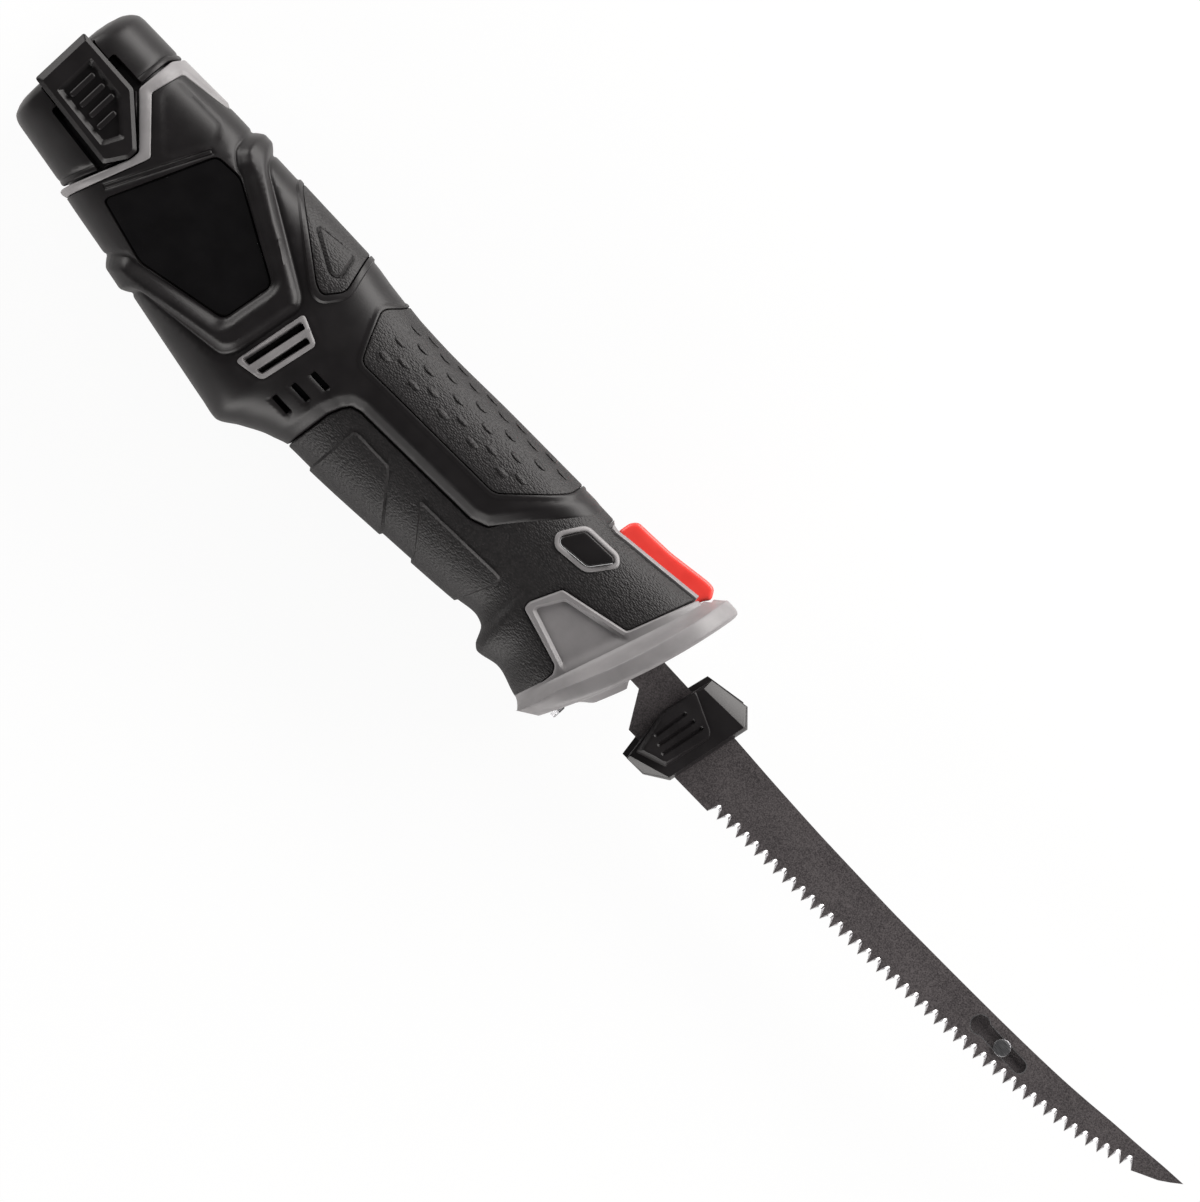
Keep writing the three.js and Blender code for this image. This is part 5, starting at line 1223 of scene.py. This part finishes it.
def spring_grown():
    """Round wire swept along a spiral."""
    height = SPRING_TOP - SPRING_FOOT - 2 * SPRING_WIRE
    grower = Grower("return_spring", Coil=SPRING_RADIUS * MM, Wire=SPRING_WIRE * MM, Height=height * MM,
                    Turns=SPRING_TURNS)
    spiral = grower.node("GeometryNodeCurveSpiral", {
        "Resolution": 24, "Start Radius": grower.size("Coil"), "End Radius": grower.size("Coil"),
        "Height": grower.size("Height"), "Rotations": grower.size("Turns")})
    wire = grower.node("GeometryNodeCurvePrimitiveCircle", {"Resolution": 10, "Radius": grower.size("Wire")})
    inputs = {"Curve": spiral, "Profile Curve": wire, "Fill Caps": True}
    coil = grower.node("GeometryNodeCurveToMesh", inputs)
    return grower.grown(bpy.data.meshes.new("spring_base"), coil, BRIGHT)


spring_mesh = spring_grown()
spring_foot = np.array([SPRING_X, SPRING_FOOT, 0]) * MM + PLACE
upright = Matrix.Rotation(-math.pi / 2, 4, "X")
spring_mesh.transform(Matrix.Translation(spring_foot + [0, SPRING_WIRE * MM, 0]) @ upright)
spring = add("return_spring", spring_mesh, "handle", "trigger_spring", BRIGHT)
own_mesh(spring)

# Lock button, a bolt through the handle: inset and drop along its rounded edge
LOCK_EDGE = [(0.0, 0.6), (0.07, 0.3), (0.27, 0.08), (0.55, 0.0)]
lock_rings = []
for inset, drop in LOCK_EDGE:
    lock_rings.append((cornered(offset_corners(LOCK_OUTLINE, -inset), 1.1), LOCK_HALF - drop))
lock_rings = [(loop, -z) for loop, z in lock_rings[::-1]] + lock_rings
add("lock_bolt", ledges_skin(lock_rings), "lock", "lock_button", BLACK)

# Battery pack: a case with its stem and neck
PACK_GAP, LATCH_SINK = 0.8, 4.5
PACK_GROOVE, PACK_GROOVE_BACK, PACK_GROOVE_WIDTH = 0.45, 1.9, 0.35
pack_front = [(x - PACK_GAP, y) for x, y in COLLAR_BACK]
pack_loop = PACK.loop(pack_front + [(-252.7, BELOW), (-252.7, ABOVE)], 0.4)
pack_edge_line = PACK.line(pack_front)
latch_loop = PACK.loop(LATCH, 1.2)
pack_slot_loops = [PACK.loop(slot, 0.9) for slot in LATCH_SLOTS]


def pack_height(flat):
    behind, from_latch = away(flat, pack_edge_line), depth(flat, latch_loop)
    high = lip(behind, TRIM_LIP)
    high -= PACK_GROOVE * crease(behind - PACK_GROOVE_BACK, PACK_GROOVE_WIDTH)
    high -= LATCH_SINK * ease(from_latch, -0.45, -0.2) * ease(flat[:, 0], -251.5, -249)
    for loop in pack_slot_loops:
        high -= LATCH_SINK * ease(depth(flat, loop), -0.2, 0.15) * (from_latch < 0)
    return high


pack_features = [(pack_loop, (-2.25, -1.9, -1.55)), (latch_loop, (0.2, 0.45))]
pack_features += [(loop, (-0.15, 0.2)) for loop in pack_slot_loops]
pack = panel(PACK, pack_loop, pack_height, PACK_THICK, seam=0.0, features=pack_features, spacing=1.2,
             rings=(0.2, 0.5))
# The pack's inner sheet is drawn in towards its middle
DRAWN_IN, PACK_MIDDLE = [1, 0.55, 0.55], [0, -1.4, 0]
count = len(pack[0]) // 2
pack[0][count:] = pack[0][:count] * DRAWN_IN + PACK_MIDDLE
PACK_END = [(-252.75, -21.2, 9.7, 20.2, 3), (-252.6, -21.4, 9.9, 20.5, 3), (-251.4, -21.4, 9.9, 20.5, 3)]
STEM = [
    (-244, -24.7, 18.3, 19.9, 2.4), (-186.2, -24.7, 18.3, 19.9, 2.4), (-185.5, -24.4, 18, 19.6, 2.4),
    (-185.2, -23.9, 17.5, 19.1, 2.4),
]
NECK = [(-240, -25.7, 19, 21.3, 3), (-220, -29.4, 19.3, 21.2, 3)]
pack_tubes = [tube(section(part)) for part in (PACK_END, STEM, NECK)]
pack_skin = joined(pack, mirrored(pack), *pack_tubes)
add("pack_case", pack_skin, "battery", "battery_case", BLACK)

# Latch tongues: a sunk field with ribs, and a hook over the pack's end
FIELD_SINK, FIELD_SLOPE = 1.4, 1.5
RIB_HALF, RIB_TALL, RIB_DROP, RIB_ROUND = 0.95, 2, 0.1, 0.58
HOOK = [(-254.6, -14), (-253.1, -14), (-253.1, 5.6), (-254.6, 5.6)]
HOOK_LOW, HOOK_TOP, HOOK_ROUND = 14, LATCH_LOW + 1.5, 0.33
LATCH_BEVEL = 1.2
field_line = rounded(LATCH_FIELD, 0.9, 0.7)
field_floor = rounded(offset_corners(LATCH_FIELD, -FIELD_SLOPE), 0.6, 0.7)


def latch_top(flat):
    return LATCH_TOP - FIELD_SINK * np.clip(depth(flat, field_line) / FIELD_SLOPE, 0, 1)


def latch_rib(x, high, low):
    ends = [(x - RIB_HALF, low), (x + RIB_HALF, low), (x + RIB_HALF, high), (x - RIB_HALF, high)]
    return block(rounded(ends, 0.85, 0.5), LATCH_TOP - RIB_TALL, LATCH_TOP - RIB_DROP, RIB_ROUND, both=False)


latch_side, latch_flat = cornered(LATCH, 0.9), cornered(LATCH_FLAT, 0.7)
tongue = ledges_skin(
    [(latch_side, LATCH_LOW), (latch_side, LATCH_TOP - LATCH_BEVEL), (latch_flat, LATCH_TOP)],
    spacing=0.8, top=latch_top, features=[(field_line, (0.0,)), (field_floor, (0.0,))])
hook = block(rounded(HOOK, 0.5, 0.8), HOOK_LOW, HOOK_TOP, HOOK_ROUND)
latch_skin = joined(tongue, hook, *(latch_rib(*rib) for rib in LATCH_RIBS))
for name, side in SIDES.items():
    node = f"{name}_latch"
    add(f"{name}_latch_tongue", sided(latch_skin, side), node, node, BLACK, 12)

# Blades: coated plates, teeth ground on the outer face
# One tooth of the coat's border and of the cutting edge: share along it, share of the gullet's depth
COAT_ARCH = [
    (0.0, 0.03), (0.1, 0.3), (0.2, 0.66), (0.3, 0.9), (0.42, 1.0), (0.56, 1.0), (0.68, 0.9), (0.8, 0.64),
    (0.92, 0.26),
]
EDGE_ARCH = [
    (0.0, 0.0), (0.14, 0.27), (0.25, 0.48), (0.35, 0.62), (0.46, 0.68), (0.56, 0.67), (0.67, 0.58),
    (0.79, 0.4), (0.92, 0.15),
]
KEYHOLE_X, KEYHOLE_RADIUS, SLOT_HALF, SLOT_FRONT = 145.9, 2.95, 2.15, 165.0


def spline(points, count):
    """A smooth line through points, in even steps."""
    points = np.array(points, float)
    along = np.concatenate([[0], np.cumsum(np.linalg.norm(np.diff(points, axis=0), axis=1))])
    at = np.linspace(0, along[-1], count)
    return np.column_stack([Smooth(along, points[:, 0])(at), Smooth(along, points[:, 1])(at)])


def tooth_line(arch, steps):
    """One arch repeated tooth by tooth along the blade's edge."""
    path = spline(EDGE_LINE, 900)
    length = np.concatenate([[0], np.cumsum(np.linalg.norm(np.diff(path, axis=0), axis=1))])
    teeth = round(length[-1] / TOOTH_PITCH)
    shares, depths = np.array(arch + [(1.0, arch[0][1])]).T
    even = np.linspace(0, 1, steps, endpoint=False)
    seat = np.interp(even, np.linspace(0, 1, len(shares)), shares)
    rise = np.interp(even, np.linspace(0, 1, len(depths)), depths)
    at = ((np.arange(teeth)[:, None] + seat) / teeth).ravel() * length[-1]

    def spot(at):
        return np.column_stack([np.interp(at, length, path[:, 0]), np.interp(at, length, path[:, 1])])

    along = spot(at + 1) - spot(at - 1)
    along /= np.linalg.norm(along, axis=1, keepdims=True)
    up = np.column_stack([-along[:, 1], along[:, 0]])
    return spot(at) + up * (np.tile(rise, teeth) * GULLET_DEPTH)[:, None]


def keyhole():
    meet = math.asin(SLOT_HALF / KEYHOLE_RADIUS)
    big = np.linspace(meet, 2 * math.pi - meet, 30)
    end = np.linspace(-math.pi / 2, math.pi / 2, 12)
    corner = SLOT_FRONT - SLOT_HALF
    outline = np.concatenate([
        np.column_stack([KEYHOLE_X + KEYHOLE_RADIUS * np.cos(big), KEYHOLE_RADIUS * np.sin(big)]),
        np.column_stack([corner + SLOT_HALF * np.cos(end), SLOT_HALF * np.sin(end)]),
    ])
    return counter_clockwise(outline + [0, RIVET_PLACE[1]])


def round_hole(radius):
    turn = np.linspace(0, 2 * math.pi, 28, endpoint=False)
    return RIVET_PLACE[:2] + radius * np.column_stack([np.cos(turn), np.sin(turn)])


TOOTH_STEPS, EDGE_THICK, HOLE_BARE, RIVET_HOLE = 14, 0.08, 0.28, 2.0
coat_line, edge_line = tooth_line(COAT_ARCH, TOOTH_STEPS), tooth_line(EDGE_ARCH, TOOTH_STEPS)
coat_loop = np.concatenate([
    np.array([(TANG_END, SHANK_BOTTOM)] + HEEL), coat_line, np.array([EDGE_LINE[-1]] + BELLY),
    spline(SPINE_LINE, 120)[::-1], np.array([(TANG_END, SHANK_TOP)]),
])


def blade_skin(hole):
    """A plate inside the coat's border, with a strip ground down from it to the cutting edge."""
    flat, tris = fill(coat_loop, holes=[hole], spacing=1.3, rings=(0.3,))
    seat = [int(np.argmin(((flat - point) ** 2).sum(1))) for point in coat_line]
    count = len(flat)
    strip = []
    for i in range(len(coat_line) - 1):
        strip += [(seat[i], count + i, count + i + 1), (seat[i], count + i + 1, seat[i + 1])]
    points = np.concatenate([flat, edge_line])
    top = np.full(len(points), BLADE_OUTER)
    top[count:] = BLADE_INNER + EDGE_THICK
    bottom = np.full(len(points), BLADE_INNER)
    tris = np.concatenate([tris, strip])
    return closed(np.column_stack([points, top]), np.column_stack([points, bottom]), tris)


for name, hole in (("right", keyhole()), ("left", round_hole(RIVET_HOLE))):
    skin = sided(blade_skin(hole), SIDES[name])
    node = f"{name}_blade"
    blade = add(f"{name}_cutting_blade", skin, node, node, COAT, 25)
    blade.data.materials.append(GROUND)
    middles = np.array([tuple(face.center) for face in blade.data.polygons])
    middles = ((middles - PLACE) / MM)[:, :2]
    bare = (depth(middles, coat_loop) < -0.01) | (away(middles, hole, closed=True) < HOLE_BARE)
    blade.data.polygons.foreach_set("material_index", bare.astype(np.int32))

# Rivet, turned about z: radius, height
RIVET_PROFILE = [
    (2.3, -2.05), (2.7, -1.85), (2.7, -1.45), (1.7, -1.45), (1.7, 1.45), (2.7, 1.45), (2.7, 1.85),
    (2.3, 2.05),
]
rivet_turn = np.linspace(0, 2 * math.pi, 36, endpoint=False)
rivet_circle = np.column_stack([np.cos(rivet_turn), np.sin(rivet_turn)])
rivet_points, rivet_tris = ledges_skin([(radius * rivet_circle, height) for radius, height in RIVET_PROFILE])
rivet_skin = (rivet_points + RIVET_PLACE, rivet_tris)
add("pivot_rivet", rivet_skin, "left_blade", "blade_rivet", BRIGHT)


# Clips: a base with sloped ends, and a raised thumb face with three grooves
def slot_outline(length, width):
    """A slot with round ends, along x, about its middle."""
    ends = (length - width) / 2
    turns = np.linspace(-math.pi / 2, math.pi / 2, 8)
    front = np.column_stack([ends + np.cos(turns) * width / 2, np.sin(turns) * width / 2])
    return np.concatenate([front, -front])


GROOVE_WIDTH, GROOVE_DEPTH, GROOVE_SLOPE = 1.4, 0.8, 0.65
# The base's upper edge also bends at these points
CLIP_BENDS = [(15.55, 7.5), (32.3, 8.4), (27.95, -18.1), (15.1, -22.4)]
CLIP_FALLS = (0.66, 0.75)
FACE_LOW_SHARE, FACE_CLIMB = 0.2, 20
# The thumb face's rounded edge: share of its bevel, share of its rise
FACE_EDGE = ((0.0, 0.0), (0.08, 0.12), (0.85, 0.9), (1.0, 0.975), (1.2, 1.0))
groove_loops = []
for ends in CLIP_GROOVES:
    start, end = np.array(ends)
    length = math.hypot(*(end - start))
    along = (end - start) / length
    groove = slot_outline(length + GROOVE_WIDTH, GROOVE_WIDTH)
    turned_groove = groove @ np.array([along, [-along[1], along[0]]]) + (start + end) / 2
    groove_loops.append(rounded(turned_groove, 0.1, 0.5))


def groove_height(flat):
    return -GROOVE_DEPTH * np.max([ease(depth(flat, loop), 0, GROOVE_SLOPE) for loop in groove_loops], axis=0)


def beyond(point, start, end):
    """Distance of a point to the left of a line, or 0 to its right."""
    along, offset = np.subtract(end, start), np.subtract(point, start)
    return max(0.0, float(along[0] * offset[1] - along[1] * offset[0]) / math.hypot(*along))


def clip_edge(point):
    """Height of the base's upper edge: the shelf, falling beyond each of its two ends."""
    upper, lower = beyond(point, *CLIP_SHELF[:2]), beyond(point, *CLIP_SHELF[2:4])
    return CLIP_SHELF_TOP - CLIP_FALLS[0] * upper - CLIP_FALLS[1] * lower


def face_rise(flat):
    """Rise of the thumb face above the shelf: low along its upper edge, full at its foot."""
    start, along = np.array(CLIP_FACE[0]), np.subtract(CLIP_FACE[1], CLIP_FACE[0])
    down = (flat[:, 0] - start[0]) * along[1] - (flat[:, 1] - start[1]) * along[0]
    climb = np.clip(down / np.hypot(*along) / FACE_CLIMB, 0, 1)
    return (CLIP_FACE_TOP - CLIP_SHELF_TOP) * (FACE_LOW_SHARE + (1 - FACE_LOW_SHARE) * climb)


def clip_skin():
    foot = [(x, y, z) for x, y in CLIP_BASE for z in (CLIP_LOW, CLIP_LOW + 0.4)]
    base = hull_skin(foot + [(*point, clip_edge(point)) for point in CLIP_CROWN + CLIP_BENDS], 0.3)
    border, inner = (cornered(offset_corners(CLIP_FACE, -inset), 0.7) for inset in (0.0, CLIP_FACE_BEVEL))
    rise = face_rise(border)
    share = (rise / rise.max())[:, None]
    ledges = [(border, CLIP_LOW + CLIP_EDGE)]
    for inset, height in FACE_EDGE:
        ledge = border + (inner - border) * inset * share
        ledges.append((ledge, CLIP_SHELF_TOP + face_rise(ledge) * height))

    def face_top(flat):
        return CLIP_SHELF_TOP + face_rise(flat) + groove_height(flat)

    features = [(loop, (-0.6, -0.3, 0.05)) for loop in groove_loops]
    return joined(base, ledges_skin(ledges, spacing=0.6, top=face_top, features=features))


clip_points, clip_tris = clip_skin()
for name, shift in (("right", 0.0), ("left", LEFT_CLIP_SHIFT)):
    skin = sided((clip_points + [shift, 0, 0], clip_tris), SIDES[name])
    add(f"{name}_clip", skin, f"{name}_blade", f"{name}_blade_clip", CLIP_BLACK, 28)


# Solids that keep their shapes, dressed by finish
KEPT = {
    BLACK: ["battery_terminals", "contact_block"],
    INNER_BLACK: [
        "switch_body", "switch_bracket", "carrier_guide", "motor_cap", "cooling_fan", "gear_frame",
    ],
    RED: ["switch_plunger"],
    BRIGHT: [
        "trigger_pin", "motor_shaft", "gear_axle", "guard_screw",
        *(f"housing_screw_{i}" for i in range(1, 6)),
    ],
    MOTOR: ["motor_can"],
    BRONZE: ["worm", "front_bush"],
    NYLON: ["right_blade_carrier", "left_blade_carrier", "drive_gear"],
    CELL_SLEEVE: ["battery_cell_1", "battery_cell_2", "battery_cell_3"],
}
for finish, nodes in KEPT.items():
    for node in nodes:
        solid = bpy.data.objects[node]
        solid.data.materials.clear()
        solid.data.materials.append(finish)

# Stage: a pale floor, soft lights on both long sides and behind the pack, and a camera far above the knife
FLOOR_HALF = 6.0
VIEW_POINT = np.array([-24.9, 2.74, 0.0]) * MM + PLACE
VIEW_DISTANCE, VIEW_LENS, VIEW_TURN = 10.0, 1000.0, math.radians(47)

floor_mesh = bpy.data.meshes.new("floor")
floor_corners = [(x * FLOOR_HALF, y * FLOOR_HALF, 0) for x, y in ((-1, -1), (1, -1), (1, 1), (-1, 1))]
floor_mesh.from_pydata(floor_corners, [], [(0, 1, 2, 3)])
floor = bpy.data.objects.new("floor", floor_mesh)
bpy.context.scene.collection.objects.link(floor)
paper = Finish("paper_floor", Roughness=0.9)
fibre = paper.noise(paper.place(0.02, 0.02, 0.02)).between(0.3, 0.7)
paper.set(Base_Color=paper.mixed(fibre, (0.92, 0.92, 0.92, 1), (0.94, 0.94, 0.94, 1)))
# The camera sees the paper mostly white, and its shadows stay
WHITENED = 0.93
rays = paper.node("ShaderNodeLightPath", output="Is Camera Ray")
glow = paper.node("ShaderNodeEmission", {"Color": (1, 1, 1, 1), "Strength": 1.0})
lit = Wire(paper, paper.shader.outputs[0])
seen = paper.node("ShaderNodeMixShader", {0: rays * WHITENED, 1: lit, 2: glow})
paper.feed(paper.tree.nodes["Material Output"].inputs["Surface"], seen)
floor_mesh.materials.append(paper.material)

WARM_WHITE, LIT_POINT = (1.0, 0.975, 0.955), Vector((0.1, 0.0, 0.02))


def soft_light(name, place, size, power):
    data = bpy.data.lights.new(name, "AREA")
    data.shape, data.size, data.size_y, data.energy = "RECTANGLE", size[0], size[1], power
    data.color = WARM_WHITE
    light = bpy.data.objects.new(name, data)
    light.location = place
    light.rotation_euler = (LIT_POINT - Vector(place)).to_track_quat("-Z", "Y").to_euler()
    bpy.context.scene.collection.objects.link(light)


soft_light("spine_side", (0.45, 1.4, 0.47), (2.4, 0.9), 56)
soft_light("edge_side", (0.85, -1.28, 0.41), (1.8, 0.8), 30)
soft_light("pack_end", (-1.5, 0.1, 0.55), (1.4, 0.8), 24)

world = bpy.data.worlds.new("studio")
bpy.context.scene.world = world
world.use_nodes = True
sky = world.node_tree.nodes["Background"].inputs
sky["Color"].default_value = (1, 1, 1, 1)
sky["Strength"].default_value = 0.08

camera_data = bpy.data.cameras.new("above")
camera_data.lens, camera_data.sensor_width, camera_data.sensor_fit = VIEW_LENS, 36.0, "HORIZONTAL"
camera_data.clip_end = 100.0
camera = bpy.data.objects.new("above", camera_data)
camera.location = (VIEW_POINT[0], VIEW_POINT[1], VIEW_POINT[2] + VIEW_DISTANCE)
camera.rotation_euler = (0, 0, VIEW_TURN)
bpy.context.scene.collection.objects.link(camera)
bpy.context.scene.camera = camera
bpy.context.scene.view_settings.view_transform = "Standard"
